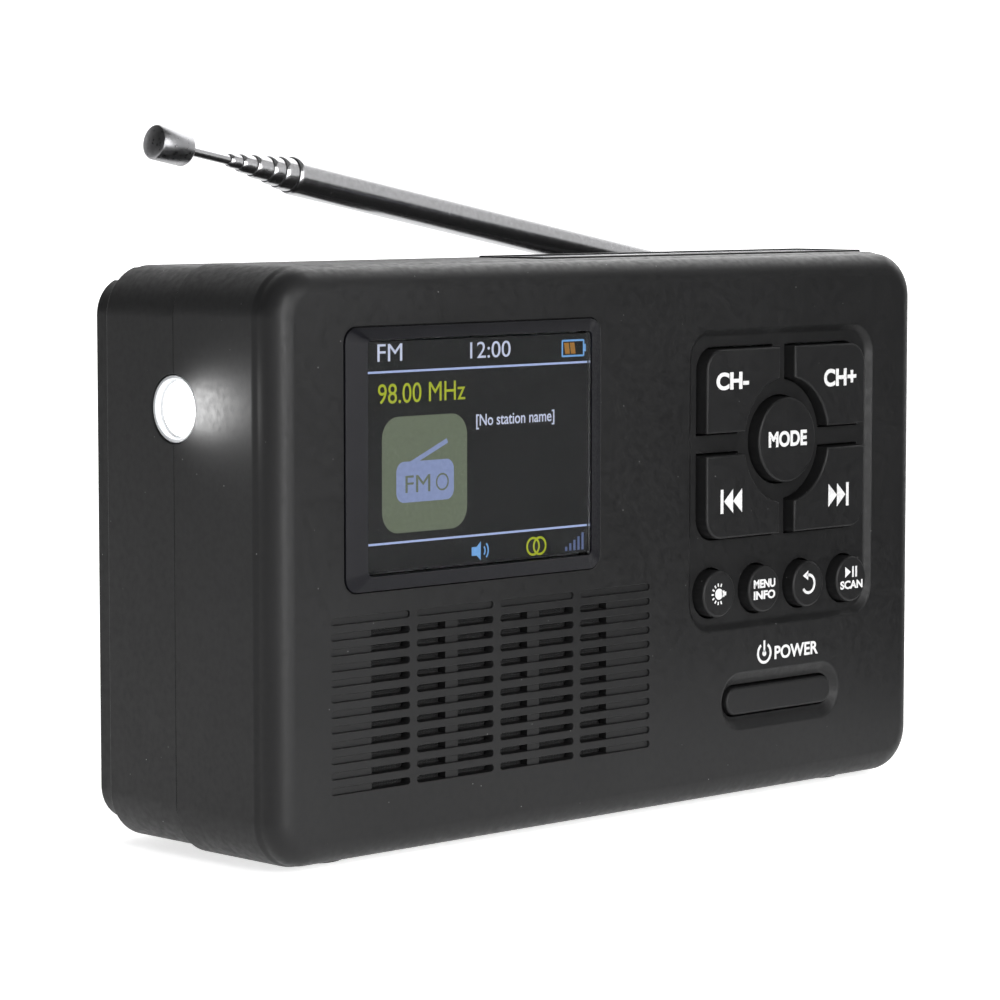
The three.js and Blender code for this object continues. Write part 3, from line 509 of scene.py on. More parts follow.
def lit_lens(name):
    """The torch's window with its light on."""
    material, tree, coords = new_material(name)
    rings = noise(tree, coords, 900, 2)
    return filled(material, {
        "Emission Color": ramp(tree, rings, [(0.3, 0.9), (0.7, 1.0)]),
        "Emission Strength": 6,
        "Base Color": (0.9, 0.92, 0.95, 1),
        "Roughness": 0.2,
    })


def printed(name, colour):
    """Screen-printed ink: slightly uneven, slightly raised."""
    material, tree, coords = new_material(name)
    spots = noise(tree, coords, 3000, 3)
    return filled(material, {
        "Base Color": shades(tree, spots, colour, [(0.35, 0.82), (0.6, 1.0)]),
        "Roughness": ramp(tree, spots, [(0.3, 0.5), (0.7, 0.7)]),
        "Normal": bump(tree, spots, 0.2, 0.00002),
    })


def clear_glass(name):
    material, tree, coords = new_material(name)
    smears = noise(tree, coords, 60, 4)
    return filled(material, {
        "Roughness": ramp(tree, smears, [(0.3, 0.02), (0.75, 0.07)]),
        "Base Color": (0.95, 0.96, 0.97, 1),
        "Transmission Weight": 1,
        "IOR": 1.22,
    })


def solar_glass(name):
    """Dark blue-black cells with thin silver fingers and two bus bars along each strip."""
    material, tree, coords = new_material(name)
    split = new_node(tree, "SeparateXYZ", {"Vector": coords})
    low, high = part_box("solar_cell")
    depth = high.y - low.y

    def stripes(axis, pitch, width, offset):
        """1 on thin lines across an axis, every pitch, and 0 between them."""
        shifted = maths(tree, "SUBTRACT", split.outputs[axis], offset)
        return maths(tree, "LESS_THAN", maths(tree, "PINGPONG", shifted, pitch / 2), width / 2)

    fingers = stripes("X", 0.0016, 0.00008, low.x)
    bars = stripes("Y", depth / 2, 0.0005, low.y + depth / 4)
    gaps = stripes("X", (high.x - low.x) / 6, 0.0006, low.x)
    silver = maths(tree, "MAXIMUM", maths(tree, "MAXIMUM", fingers, bars), gaps)
    cloud = noise(tree, coords, 300, 3)
    cell = ramp(tree, cloud, [(0.3, (0.006, 0.009, 0.03)), (0.7, (0.012, 0.018, 0.055))])
    return filled(material, {
        "Base Color": mixed(tree, silver, cell, (0.42, 0.42, 0.44, 1)),
        "Roughness": 0.35,
        "Coat Weight": 0.6,
        "Coat Roughness": 0.08,
    })


def circuit_board(name):
    """Green solder mask over a faint pattern of tracks and pads."""
    material, tree, coords = new_material(name)
    pattern = {
        "Scale": 330,
        "Mortar Size": 0.03,
        "Color1": (0.01, 0.09, 0.03, 1),
        "Color2": (0.015, 0.13, 0.045, 1),
        "Mortar": (0.2, 0.24, 0.1, 1),
        "Vector": coords,
    }
    brick = new_node(tree, "TexBrick", pattern)
    return filled(material, {
        "Base Color": brick.outputs["Color"],
        "Roughness": 0.35,
        "Normal": bump(tree, brick.outputs["Fac"], 0.3, 0.00003),
    })


def pale_floor(name):
    material, tree, coords = new_material(name)
    tone = noise(tree, coords, 3, 2)
    return filled(material, {
        "Base Color": ramp(tree, tone, [(0.3, 0.9), (0.7, 0.93)]),
        "Roughness": 0.8,
        "Specular IOR Level": 0.2,
        "Emission Color": (1, 1, 1, 1),
        "Emission Strength": 0.72,
    })


CASING = matte_plastic("casing plastic", (0.0095, 0.0095, 0.0098), 0.46, grain=0.3)
KEY = matte_plastic("key plastic", (0.0090, 0.0090, 0.0094), 0.48, grain=0.22)
BEZEL = gloss_plastic("bezel plastic", (0.006, 0.006, 0.008), 0.4, specular=0.12)
GLASS = clear_glass("display glass")
LAMP_CLEAR = gloss_plastic("torch lens clear", (0.85, 0.87, 0.9), 0.12)
LAMP_RIM = gloss_plastic("torch rim", (0.42, 0.43, 0.44), 0.3)
CHROME = metal("aerial chrome", (0.5, 0.5, 0.51), 0.22, strength=0.01)
SATIN = metal("satin chrome", (0.33, 0.33, 0.34), 0.3, strength=0.03)
STEEL = metal("plated steel", (0.55, 0.55, 0.57), 0.32)
RUBBER = rubber("foot rubber", (0.014, 0.014, 0.014))
CLOTH = woven_cloth("speaker cloth", (0.006, 0.006, 0.0065))
INK = printed("white ink", (0.75, 0.75, 0.75))
BOARD = circuit_board("circuit board")
NYLON = matte_plastic("natural nylon", (0.62, 0.6, 0.53), 0.45, grain=0.1)
SILICONE = rubber("grey silicone", (0.12, 0.125, 0.13))
SLEEVE = gloss_plastic("battery sleeve", (0.03, 0.16, 0.36), 0.3)
SOLAR = solar_glass("solar cells")
PAPER = woven_cloth("speaker cone paper", (0.02, 0.018, 0.016))


# ---- key outlines
def cross_key_outline(sign_x, sign_z, grow):
    """One quarter of the key cross, with the ring round the centre key bitten out."""
    outer_w = CROSS_HALF_W + grow
    outer_h = CROSS_HALF_H + grow
    channel = CROSS_CHANNEL - grow
    ring_r = CROSS_RING - grow
    corner = max(CROSS_CORNER + grow, 0.1)
    reach = math.sqrt(ring_r**2 - channel**2)
    start = math.atan2(reach, channel)
    stop = math.atan2(channel, reach)
    points = [(channel, outer_h)]
    points += on_circle(0, 0, ring_r, [start + (stop - start) * i / 24 for i in range(25)])
    points.append((outer_w, channel))
    points += on_circle(outer_w - corner, outer_h - corner, corner, [math.pi / 2 * i / 12 for i in range(13)])
    return [(PAD_X + sign_x * x, CROSS_Z + sign_z * z) for x, z in points]


def power_outline(grow_x, grow_z=None):
    half_w = POWER_HALF_W + grow_x
    half_h = POWER_HALF_H + (grow_x if grow_z is None else grow_z)
    return rect_outline(
        PAD_X - half_w, PAD_X + half_w, POWER_Z - half_h, POWER_Z + half_h, half_h - 0.01, CORNER_STEPS
    )


def key_disc(node, r):
    x, z = centre_of(node)
    return lambda grow: disc_outline(x, z, r + grow)


# Each key's CAD node with its body and its outline grown by some amount.
KEYS = {
    "key_channel_down": ("channel_down_key", lambda g: cross_key_outline(-1, 1, g)),
    "key_channel_up": ("channel_up_key", lambda g: cross_key_outline(1, 1, g)),
    "key_previous": ("previous_key", lambda g: cross_key_outline(-1, -1, g)),
    "key_next": ("next_key", lambda g: cross_key_outline(1, -1, g)),
    "key_mode": ("mode_key", key_disc("key_mode", MODE_R)),
    "key_torch": ("torch_key", key_disc("key_torch", SMALL_KEY_R)),
    "key_menu": ("menu_key", key_disc("key_menu", SMALL_KEY_R)),
    "key_back": ("back_key", key_disc("key_back", SMALL_KEY_R)),
    "key_scan": ("scan_key", key_disc("key_scan", SMALL_KEY_R)),
    "key_power": ("power_key", power_outline),
}


# ---- casing
def case_ring(y, inset, proud=(0.0, 0.0)):
    """The case's outline at y, drawn in by inset and standing out below and above by proud."""
    below, above = proud
    outline = rect_outline(
        CASE_LEFT + inset, CASE_RIGHT - inset, inset - below, CASE_H - inset + above, CASE_CORNER - inset
    )
    return ring(outline, y)


def front_profile():
    """(y, inset) from the parting plane over the soft shoulder and the pillowed edge to the flat face."""
    steps = [(PARTING_Y - SEAM / 2, 0.04), (PARTING_Y - SEAM / 2 - SEAM_BREAK, 0.0)]
    for i in range(SHOULDER_STEPS + 1):
        share = i / SHOULDER_STEPS
        inset = SHOULDER_STEP * (1 - math.cos(math.pi * share)) / 2
        steps.append((SHOULDER_Y + SHOULDER_BACK - SHOULDER_RUN * share, inset))
    steps += [(back, SHOULDER_STEP + inset) for inset, back in quarter(FRONT_FILLET, FILLET_STEPS)[1:]]
    return steps


def rear_profile():
    """(y, inset) from the parting plane over the small step to the rear face."""
    steps = [(PARTING_Y + SEAM / 2, 0.05), (PARTING_Y + SEAM / 2 + SEAM_BREAK, 0.0)]
    steps += [(REAR_STEP_Y - back, inset) for inset, back in quarter(REAR_EDGE, 4)]
    steps += [(REAR_STEP_Y + inset, REAR_STEP - back) for inset, back in quarter(REAR_EDGE, 4)]
    steps += [(REAR_Y - back, REAR_STEP + inset) for inset, back in quarter(REAR_FILLET, 6)]
    return steps


def screw_places():
    """The four case screws' axes as (x, z)."""
    return [centre_of(f"case_screw_{i}") for i in range(1, 5)]


def pad_cutter():
    """The key pad's recess, as (share of its depth, growth) from a soft rim to the floor."""
    edge = [(-1, 0.4), (0, 0.4), (0.07, 0.16), (0.22, 0.0), (0.78, -0.62), (0.93, -0.85), (1.0, -1.15)]
    return loft("pad recess", [ring(grown_rect(PAD, g), y * PAD_DEPTH) for y, g in edge])


def power_cutter():
    """The dish round the power key, as (y, growth to the sides, growth up and down)."""
    edge = [(-1, 2.1, 2.75), (0, 2.1, 2.75), (0.05, 1.75, 2.45), (0.2, 1.5, 2.2), (0.95, 0.85, 1.0)]
    edge += [(1.1, 0.65, 0.7), (POWER_FLOOR, 0.5, 0.5)]
    return loft("power dish", [ring(power_outline(gx, gz), y) for y, gx, gz in edge])


def key_cutters():
    """Holes for the keys, with a rounded lip at the floor that they stand out of."""
    cutters = []
    for name, (_, outline) in KEYS.items():
        floor = POWER_FLOOR if name == "key_power" else PAD_DEPTH
        edge = [(floor - 0.4, 0.15), (floor, 0.15), (floor + 0.05, 0.05), (floor + 0.15, 0.0), (7, 0.0)]
        cutters.append(loft("hole", [ring(outline(KEY_GAP + g), y) for y, g in edge]))
    return joined("key holes", cutters)


def slot_rows():
    return [GRILLE_LOW_Z + k * GRILLE_PITCH for k in range(GRILLE_ROWS)]


def grille_cutters():
    """Every slot of the grille, flared where it meets the front face."""
    cutters = []
    edge = [(-1, 0.14), (0, 0.14), (0.04, 0.05), (0.14, 0.0), (WALL + 2, 0.0)]
    for z in slot_rows():
        for left, right in GRILLE_COLUMNS:
            slot = (left, right, z, z + SLOT_H, SLOT_H / 2 - 0.01)
            cutters.append(loft("slot", [ring(grown_rect(slot, g, 6), y) for y, g in edge]))
    return joined("grille slots", cutters)


def grille_backing():
    """What closes the outer slots and the top row, and the two bars behind the open ones."""
    low = GRILLE_LOW_Z - 0.6
    high = slot_rows()[-1] + SLOT_H + 0.6
    closed = slot_rows()[-1] - 0.6
    y0, y1 = GROOVE_DEPTH, WALL - 0.02
    spans = [(GRILLE_COLUMNS[0][0] - 0.6, GRILLE_OPEN[0]), (GRILLE_OPEN[1], GRILLE_COLUMNS[-1][1] + 0.6)]
    pieces = [block("backing", x0, x1, y0, y1, low, high) for x0, x1 in spans + GRILLE_BARS]
    edges = [GRILLE_OPEN[0], *GRILLE_BARS[0], *GRILLE_BARS[1], GRILLE_OPEN[1]]
    for x0, x1 in zip(edges[::2], edges[1::2]):
        pieces.append(block("backing", x0 - 0.01, x1 + 0.01, y0, y1, closed, high))
    return pieces


def torch_cutter():
    side = CASE_LEFT
    r = TORCH_HOLE_R - 0.15
    profile = [(0, side - 3), (r + 0.2, side - 3), (r + 0.2, side), (r + 0.05, side + 0.07), (r, side + 0.2)]
    profile += [(r, side + 6), (0, side + 6)]
    return turned("torch hole", profile, along_x(PARTING_Y, TORCH_Z))


def front_shell():
    inside = [(WALL, 6.4), (2.6, 5.0), (5.0, 3.2), (8.0, WALL), (PARTING_Y - SEAM / 2, WALL)]
    shell = loft("front_case", [case_ring(y, inset, FRONT_PROUD) for y, inset in inside + front_profile()])
    lip = [(-1, 0.3), (0, 0.3), (0.05, 0.2), (0.15, 0.15), (0.8, 0.15)]
    low, high = case_box("solar_frame")
    solar_sides = (low.x - SOLAR_GAP, high.x + SOLAR_GAP, low.y - SOLAR_GAP, high.y + SOLAR_GAP)
    backs = (WALL - 0.3, WALL + 1)
    steps = [
        ("UNION", block("pad back", PAD[0] - 2, PAD[1] + 2, *backs, PAD[2] - 2, PAD[3] + 2)),
        ("UNION", block("power back", PAD_X - 17, PAD_X + 17, *backs, POWER_Z - 7, POWER_Z + 7)),
        ("DIFFERENCE", pad_cutter()),
        ("DIFFERENCE", power_cutter()),
        ("DIFFERENCE", key_cutters()),
        ("DIFFERENCE", grille_cutters()),
        ("DIFFERENCE", loft("bezel seat", [ring(grown_rect(BEZEL_RECT, g), y) for y, g in lip])),
        ("DIFFERENCE", loft("window", [ring(grown_rect(BEZEL_RECT, -2), y) for y in (-1, WALL + 1)])),
        ("DIFFERENCE", torch_cutter()),
        ("DIFFERENCE", block("solar seat", *solar_sides, low.z - SOLAR_GAP, CASE_H + 3)),
    ]
    steps += [("UNION", piece) for piece in grille_backing()]
    combine(shell, steps)
    install(shell, "case", CASING, "casing", "front_shell")


def rear_shell():
    inside = [(REAR_Y - WALL, 5.2), (REAR_STEP_Y - WALL, 4.0), (REAR_STEP_Y - WALL, WALL)]
    inside.append((PARTING_Y + SEAM / 2, WALL))
    shell = loft("rear_case", [case_ring(y, inset) for y, inset in inside + rear_profile()])
    left, right, front, floor = AERIAL_POCKET
    wall = 1.6
    behind_step = [case_ring(y, inset + 0.01) for y, inset in rear_profile()[6:]]
    filling = loft("filling", [case_ring(REAR_STEP_Y - 12, 1.0), *behind_step])
    pocket_sides = (left - wall, right + wall, front - wall, REAR_Y + 1)
    combine(filling, [("INTERSECT", block("pocket wall", *pocket_sides, floor - wall, CASE_H + 1))])
    filling.modifiers.clear()
    steps = [
        ("UNION", filling),
        ("DIFFERENCE", block("pocket", left, right, front, REAR_Y + 5, floor, CASE_H + 5, bevel=0.5)),
    ]
    outside = REAR_Y + 2
    boss = [(0, 30), (3.6, 30), (3.6, 45), (0, 45)]
    well = [(0, 41.0), (1.6, 41.0), (1.6, 42.0), (2.95, 42.0), (2.95, REAR_Y - 0.25), (3.2, REAR_Y)]
    well += [(3.2, outside), (0, outside)]
    for x, z in screw_places():
        steps.append(("UNION", turned("boss", boss, along_y(x, z))))
        steps.append(("DIFFERENCE", turned("screw well", well, along_y(x, z))))
    hub = to_case(Vector(joint("crank_turn")["pos_m"]))
    crank_hole = [(0, 40.0), (3.3, 40.0), (3.3, outside), (0, outside)]
    steps.append(("DIFFERENCE", turned("crank hole", crank_hole, along_y(hub.x, hub.z))))
    low, high = case_box("usb_socket")
    usb = (low.x - 0.15, high.x + 0.15, low.z - 0.15, high.z + 0.15, 1.7)
    mouth = [(40, 0), (REAR_Y - 0.3, 0), (REAR_Y - 0.1, 0.08), (REAR_Y, 0.3), (outside, 0.3)]
    steps.append(("DIFFERENCE", loft("usb hole", [ring(grown_rect(usb, g), y) for y, g in mouth])))
    low, high = case_box("headphone_socket")
    jack_r = (high.x - low.x) / 2 + 0.2
    jack = [(0, 40.0), (jack_r, 40.0), (jack_r, REAR_Y - 0.25), (jack_r + 0.25, REAR_Y)]
    jack += [(jack_r + 0.25, outside), (0, outside)]
    steps.append(("DIFFERENCE", turned("jack hole", jack, along_y(*centre_of("headphone_socket")))))
    steps.append(("DIFFERENCE", torch_cutter()))
    combine(shell, steps)
    install(shell, "case", CASING, "casing", "rear_shell")


def feet():
    for name in ("foot_front_left", "foot_front_right", "foot_rear_left", "foot_rear_right"):
        low, high = case_box(name)
        r = (high.x - low.x) / 2
        profile = [(0, low.z), (r - 0.55, low.z), (r - 0.2, low.z + 0.1), (r - 0.02, low.z + 0.4)]
        profile += [(r, high.z), (0, high.z)]
        place = along_z((low.x + high.x) / 2, (low.y + high.y) / 2)
        install(turned(f"{name}_pad", profile, place), "case", RUBBER, "rubber", name)


def case_screws():
    """Cross-recessed pan heads at the bottom of their wells."""
    for i, (x, z) in enumerate(screw_places(), start=1):
        low, high = case_box(f"case_screw_{i}")
        top = high.y
        profile = [(0, low.y), (1.3, low.y), (1.3, top - 1.9), (2.7, top - 1.9), (2.7, top - 0.7)]
        profile += [(2.3, top - 0.2), (1.4, top), (0, top)]
        screw = turned(f"screw_{i}", profile, along_y(x, z), sides=48)
        arms = [
            ("DIFFERENCE", block("cross", x - 1.4, x + 1.4, top - 1.0, top + 1, z - 0.28, z + 0.28)),
            ("DIFFERENCE", block("cross", x - 0.28, x + 0.28, top - 1.0, top + 1, z - 1.4, z + 1.4)),
        ]
        combine(screw, arms)
        install(screw, "case", STEEL, "steel", f"case_screw_{i}")


# ---- keys and legends
KEY_EDGE = 0.45
INK_THICK = 0.015


def keys():
    for name, (body, outline) in KEYS.items():
        face = POWER_FACE_Y if name == "key_power" else KEY_FACE_Y
        rings = [ring(outline(0), KEY_BACK_Y)]
        rings += [ring(outline(-inset), face + back) for inset, back in quarter(KEY_EDGE, 6)]
        cap = loft(f"{name}_cap", rings)
        keep_flat(cap)
        install(cap, body, KEY, "key", name)


def flat_shape(outlines, y):
    """Thin raised shapes on the face at y, from (x, z) outlines."""
    bm = bmesh.new()
    for outline in outlines:
        front = [bm.verts.new(at(x, y - INK_THICK, z)) for x, z in outline]
        back = [bm.verts.new(at(x, y, z)) for x, z in outline]
        bm.faces.new(front)
        bm.faces.new(back[::-1])
        for i in range(len(front)):
            j = (i + 1) % len(front)
            bm.faces.new((front[i], back[i], back[j], front[j]))
    return finish_mesh(bm, "shapes")


def lettering(text, left, bottom, width, height, y, weight=0.0):
    """Raised letters that fill a box on the face at y."""
    curve = bpy.data.curves.new("letters", "FONT")
    curve.body = text
    curve.offset = weight
    curve.resolution_u = 6
    label = new_object("letters", curve)
    bpy.context.view_layer.update()
    mesh = bpy.data.meshes.new_from_object(label.evaluated_get(bpy.context.evaluated_depsgraph_get()))
    remove(label)
    xs = [v.co.x for v in mesh.vertices]
    ys = [v.co.y for v in mesh.vertices]
    scale_x = width / (max(xs) - min(xs))
    scale_z = height / (max(ys) - min(ys))
    bm = bmesh.new()
    bm.from_mesh(mesh)
    for v in bm.verts:
        v.co = at(left + (v.co.x - min(xs)) * scale_x, y, bottom + (v.co.y - min(ys)) * scale_z)
    extruded = bmesh.ops.extrude_face_region(bm, geom=list(bm.faces))["geom"]
    moved = [g for g in extruded if isinstance(g, bmesh.types.BMVert)]
    bmesh.ops.translate(bm, verts=moved, vec=Vector((0, -INK_THICK * MM, 0)))
    return finish_mesh(bm, "letters")


def arc_band(cx, cz, r, width, start, stop, steps=32):
    """A stroke along an arc, as an outline. Angles are in degrees."""
    turn = [math.radians(start + (stop - start) * i / steps) for i in range(steps + 1)]
    outer = on_circle(cx, cz, r + width / 2, turn)
    inner = on_circle(cx, cz, r - width / 2, turn)
    return outer + inner[::-1]


def stroke(x0, z0, x1, z1, width):
    """A straight stroke as an outline."""
    along = Vector((x1 - x0, z1 - z0)).normalized()
    side = Vector((-along.y, along.x)) * width / 2
    start = [(x0 + side.x, z0 + side.y), (x0 - side.x, z0 - side.y)]
    return start + [(x1 - side.x, z1 - side.y), (x1 + side.x, z1 + side.y)]


def bar(left, right, bottom, top):
    return [(left, bottom), (right, bottom), (right, top), (left, top)]


def skip_symbol(left, bottom, size_x, size_z, forward):
    """Two triangles and a bar: the track-skip symbol."""
    third = size_x * 0.42
    mid = bottom + size_z / 2
    shapes = []
    for start in (0, third):
        shapes.append([(start, bottom), (start + third, mid), (start, bottom + size_z)])
    shapes.append(bar(2 * third + size_x * 0.03, size_x, bottom, bottom + size_z))
    if not forward:
        shapes = [[(size_x - x, z) for x, z in shape][::-1] for shape in shapes]
    return [[(left + x, z) for x, z in shape] for shape in shapes]


def lamp_symbol(cx, cz):
    """A bulb lying on its side, cap to the right, with short rays round its glass."""
    shapes = [disc_outline(cx - 0.1, cz, 0.95, 32), bar(cx + 0.6, cx + 1.25, cz - 0.55, cz + 0.55)]
    shapes.append(bar(cx + 1.25, cx + 1.7, cz - 0.32, cz + 0.32))
    for k in range(9):
        a = math.radians(70 + 27.5 * k)
        ray = [(r * math.cos(a), r * math.sin(a)) for r in (1.3, 1.85)]
        shapes.append(stroke(cx - 0.1 + ray[0][0], cz + ray[0][1], cx - 0.1 + ray[1][0], cz + ray[1][1], 0.3))
    return shapes


def back_symbol(cx, cz):
    """An arrow that turns back on itself."""
    tip = [(cx - 1.5, cz + 1.5), (cx - 0.1, cz + 2.35), (cx - 0.1, cz + 0.65)]
    return [arc_band(cx, cz, 1.55, 0.5, -150, 105), tip]


def power_symbol(cx, cz):
    shapes = [arc_band(cx, cz, 1.62, 0.48, 122, 418, 48), stroke(cx, cz + 0.1, cx, cz + 2.2, 0.46)]
    shapes.append(disc_outline(cx, cz - 0.05, 0.5, 24))
    return shapes


def print_on_key(key, parts):
    """One printed piece riding on a key's body."""
    legend = joined(f"{key}_legend", parts)
    shade(legend)
    install(legend, KEYS[key][0], INK, "lamp")


def legends():
    y = KEY_FACE_Y
    bold = 0.04
    print_on_key("key_channel_down", [lettering("CH-", 20.2, 69.9, 8.2, 3.0, y, bold)])
    print_on_key("key_channel_up", [lettering("CH+", 47.8, 69.4, 8.6, 3.1, y, bold)])
    print_on_key("key_mode", [lettering("MODE", 33.5, 59.5, 9.9, 2.75, y, bold)])
    print_on_key("key_previous", [flat_shape(skip_symbol(21.4, 48.9, 5.4, 4.1, False), y)])
    print_on_key("key_next", [flat_shape(skip_symbol(49.2, 48.3, 5.4, 4.1, True), y)])
    print_on_key("key_torch", [flat_shape(lamp_symbol(*centre_of("key_torch")), y)])
    x, z = centre_of("key_menu")
    words = [("MENU", z + 0.2), ("INFO", z - 1.75)]
    print_on_key("key_menu", [lettering(word, x - 2.75, low, 5.5, 1.5, y, bold) for word, low in words])
    print_on_key("key_back", [flat_shape(back_symbol(*centre_of("key_back")), y)])
    x, z = centre_of("key_scan")
    play = [[(x - 1.7, z + 0.3), (x - 0.2, z + 1.25), (x - 1.7, z + 2.2)]]
    play += [bar(x + 0.15, x + 0.6, z + 0.3, z + 2.2), bar(x + 1.0, x + 1.45, z + 0.3, z + 2.2)]
    scan = lettering("SCAN", x - 3.0, z - 1.75, 6.0, 1.5, y, bold)
    print_on_key("key_scan", [flat_shape(play, y), scan])
    word = lettering("POWER", 36.7, 22.55, 11.4, 2.35, 0, 0.026)
    power = joined("power_legend", [flat_shape(power_symbol(34.05, 23.9), 0), word])
    shade(power)
    install(power, "case", INK, "lamp")


# ---- display
def display_bezel():
    """A raised frame whose four faces slope from the window down to the case."""
    back = BEZEL_HIGH.y
    rise = BEZEL_LOW.y
    profile = [
        (0.0, back), (0.0, -0.1), (0.015, -0.19), (0.05, -0.26), (0.93, rise + 0.09), (0.975, rise + 0.02),
        (0.99, rise), (1.0, rise + 0.1), (1.0, back),
    ]
    rings = []
    for share, y in profile:
        rect = [a + (b - a) * share for a, b in zip(BEZEL_RECT, WINDOW_RECT)]
        rings.append(ring(rect_outline(*rect), y))
    bezel = loft("screen_surround", rings, ring_closed=True, sharp=24)
    keep_flat(bezel)
    install(bezel, "case", BEZEL, "bezel", "display_bezel")


def display_lens():
    rect = (LENS_LOW.x - 0.12, LENS_HIGH.x + 0.12, LENS_LOW.z - 0.12, LENS_HIGH.z + 0.12, 0.85)
    edge = [(LENS_HIGH.y, 0.0)] + [(LENS_LOW.y + back, -inset) for inset, back in quarter(0.08, 3)]
    lens = loft("screen_glass", [ring(grown_rect(rect, g), y) for y, g in edge])
    install(lens, "case", GLASS, "lens", "display_lens")


SCREEN_WHITE = glowing("screen white", (0.75, 0.8, 1.0), 0.75)
SCREEN_LINE = glowing("screen line", (0.5, 0.6, 0.95), 0.75)
SCREEN_YELLOW = glowing("screen yellow", (0.5, 0.58, 0.03), 0.75)
SCREEN_SAGE = glowing("screen sage", (0.165, 0.195, 0.135), 0.8)
SCREEN_LILAC = glowing("screen lilac", (0.27, 0.33, 0.55), 0.85)
SCREEN_BLUE = glowing("screen blue", (0.22, 0.5, 0.95), 0.75)
SCREEN_ORANGE = glowing("screen orange", (0.42, 0.2, 0.04), 0.8)
SCREEN_SLATE = glowing("screen slate", (0.13, 0.17, 0.32), 0.8)
SCREEN_BLACK = glowing("screen black level", (0.0165, 0.0172, 0.0172), 0.8)


def screen_layer(name, pieces, material):
    layer = joined(name, pieces)
    shade(layer)
    install(layer, "case", material, "screen")


def display_picture():
    """The lit picture: a status line, the frequency, a picture tile, a message and three symbols."""
    apart = 0.018
    ground = LENS_HIGH.y + 0.07
    y = ground - apart
    front = y - apart
    lit = (LENS_LOW.x + 0.3, LENS_HIGH.x + 0.1, LENS_LOW.z + 0.3, LENS_HIGH.z - 0.3, 0.3)
    screen_layer("screen_ground", [flat_shape([grown_rect(lit, 0, 4)], ground)], SCREEN_BLACK)
    lines = [bar(lit[0] + 0.4, lit[1] - 0.1, z - 0.17, z + 0.17) for z in (75.85, 49.15)]
    screen_layer("screen_lines", [flat_shape(lines, y)], SCREEN_LINE)
    words = [
        lettering("FM", -56.5, 77.5, 5.2, 2.7, y),
        lettering("12:00", -36.7, 77.3, 8.9, 2.6, y),
        lettering("[No station name]", -35.4, 66.0, 17.5, 2.4, y, 0.01),
    ]
    screen_layer("screen_words", words, SCREEN_WHITE)
    screen_layer("screen_frequency", [lettering("98.00 MHz", -56.4, 70.9, 18.6, 3.1, y)], SCREEN_YELLOW)
    tile = (-55.6, -37.4, 50.6, 68.8, 3.4)
    screen_layer("screen_tile", [flat_shape([grown_rect(tile, 0, 8)], y)], SCREEN_SAGE)
    set_body = (-52.6, -40.3, 55.3, 61.7, 1.6)
    glyph = [grown_rect(set_body, 0, 8), stroke(-49.6, 61.3, -41.7, 64.6, 0.75)]
    screen_layer("screen_set", [flat_shape(glyph, front)], SCREEN_LILAC)
    marks = [lettering("FM", -50.7, 56.8, 5.3, 2.7, front - apart)]
    marks.append(flat_shape([arc_band(-42.8, 58.15, 1.25, 0.3, 0, 359, 40)], front - apart))
    screen_layer("screen_set_marks", marks, SCREEN_SAGE)
    frame_shape = [
        bar(-16.1, -11.2, 79.3, 79.6), bar(-16.1, -11.2, 76.8, 77.1), bar(-16.25, -15.95, 76.9, 79.5),
        bar(-11.35, -11.05, 76.9, 79.5), bar(-11.05, -10.7, 77.6, 78.8),
    ]
    screen_layer("screen_battery", [flat_shape(frame_shape, y)], SCREEN_BLUE)
    fill = [[(x, 77.3), (x + 1.05, 77.3), (x + 0.75, 79.1), (x - 0.3, 79.1)] for x in (-15.4, -14.1)]
    screen_layer("screen_charge", [flat_shape(fill, y)], SCREEN_ORANGE)
    speaker = [bar(-36.4, -35.3, 45.9, 47.3), [(-35.3, 45.9), (-34.4, 45.1), (-34.4, 48.1), (-35.3, 47.3)]]
    speaker += [arc_band(-34.4, 46.6, r, 0.28, -42, 42, 12) for r in (0.95, 1.65)]
    screen_layer("screen_speaker", [flat_shape(speaker, y)], SCREEN_BLUE)
    rings = [arc_band(x, 46.5, 1.35, 0.36, 0, 359, 40) for x in (-22.7, -21.2)]
    screen_layer("screen_stereo", [flat_shape([shape], y) for shape in rings], SCREEN_YELLOW)
    heights = (0.7, 1.2, 1.7, 2.2, 2.8)
    bars = [bar(-15.4 + 0.95 * k, -14.9 + 0.95 * k, 45.2, 45.2 + h) for k, h in enumerate(heights)]
    screen_layer("screen_signal", [flat_shape(bars, y)], SCREEN_SLATE)


# ---- torch
def torch():
    """A lit window in a moulded rim."""
    side, back = TORCH_LOW.x, TORCH_HIGH.x
    r = (TORCH_HIGH.z - TORCH_LOW.z) / 2
    rim = r - 0.6
    disc = side + 1.35
    axis = along_x(PARTING_Y, TORCH_Z)
    window = [(0, disc), (rim - 0.4, disc), (rim - 0.4, back), (0, back)]
    install(turned("torch_window", window, axis), "case", lit_lens("torch lens, lit"), "lamp", "torch_lens")
    wall = [(rim - 0.38, disc), (rim, disc - 0.3), (rim, side + 0.15), (rim + 0.12, side), (r - 0.12, side)]
    wall += [(r, side + 0.15), (r, back), (rim - 0.38, back)]
    install(turned("torch_rim", wall, axis, closed=True), "case", LAMP_RIM, "lamp")


# ---- aerial
PIVOT = Vector(joint("aerial_tilt")["pos_m"])
AERIAL_DIRECTION = Vector(joint("slide_rod")["axis"]).normalized()
AERIAL_ACROSS = Vector((0, 1, 0))
AERIAL_UP = AERIAL_DIRECTION.cross(AERIAL_ACROSS).normalized()


def on_aerial(u, v, h):
    """Turned pieces whose axis runs along the aerial from its pivot. u, v and h are in millimetres."""
    return PIVOT + (AERIAL_DIRECTION * h + AERIAL_ACROSS * u + AERIAL_UP * v) * MM


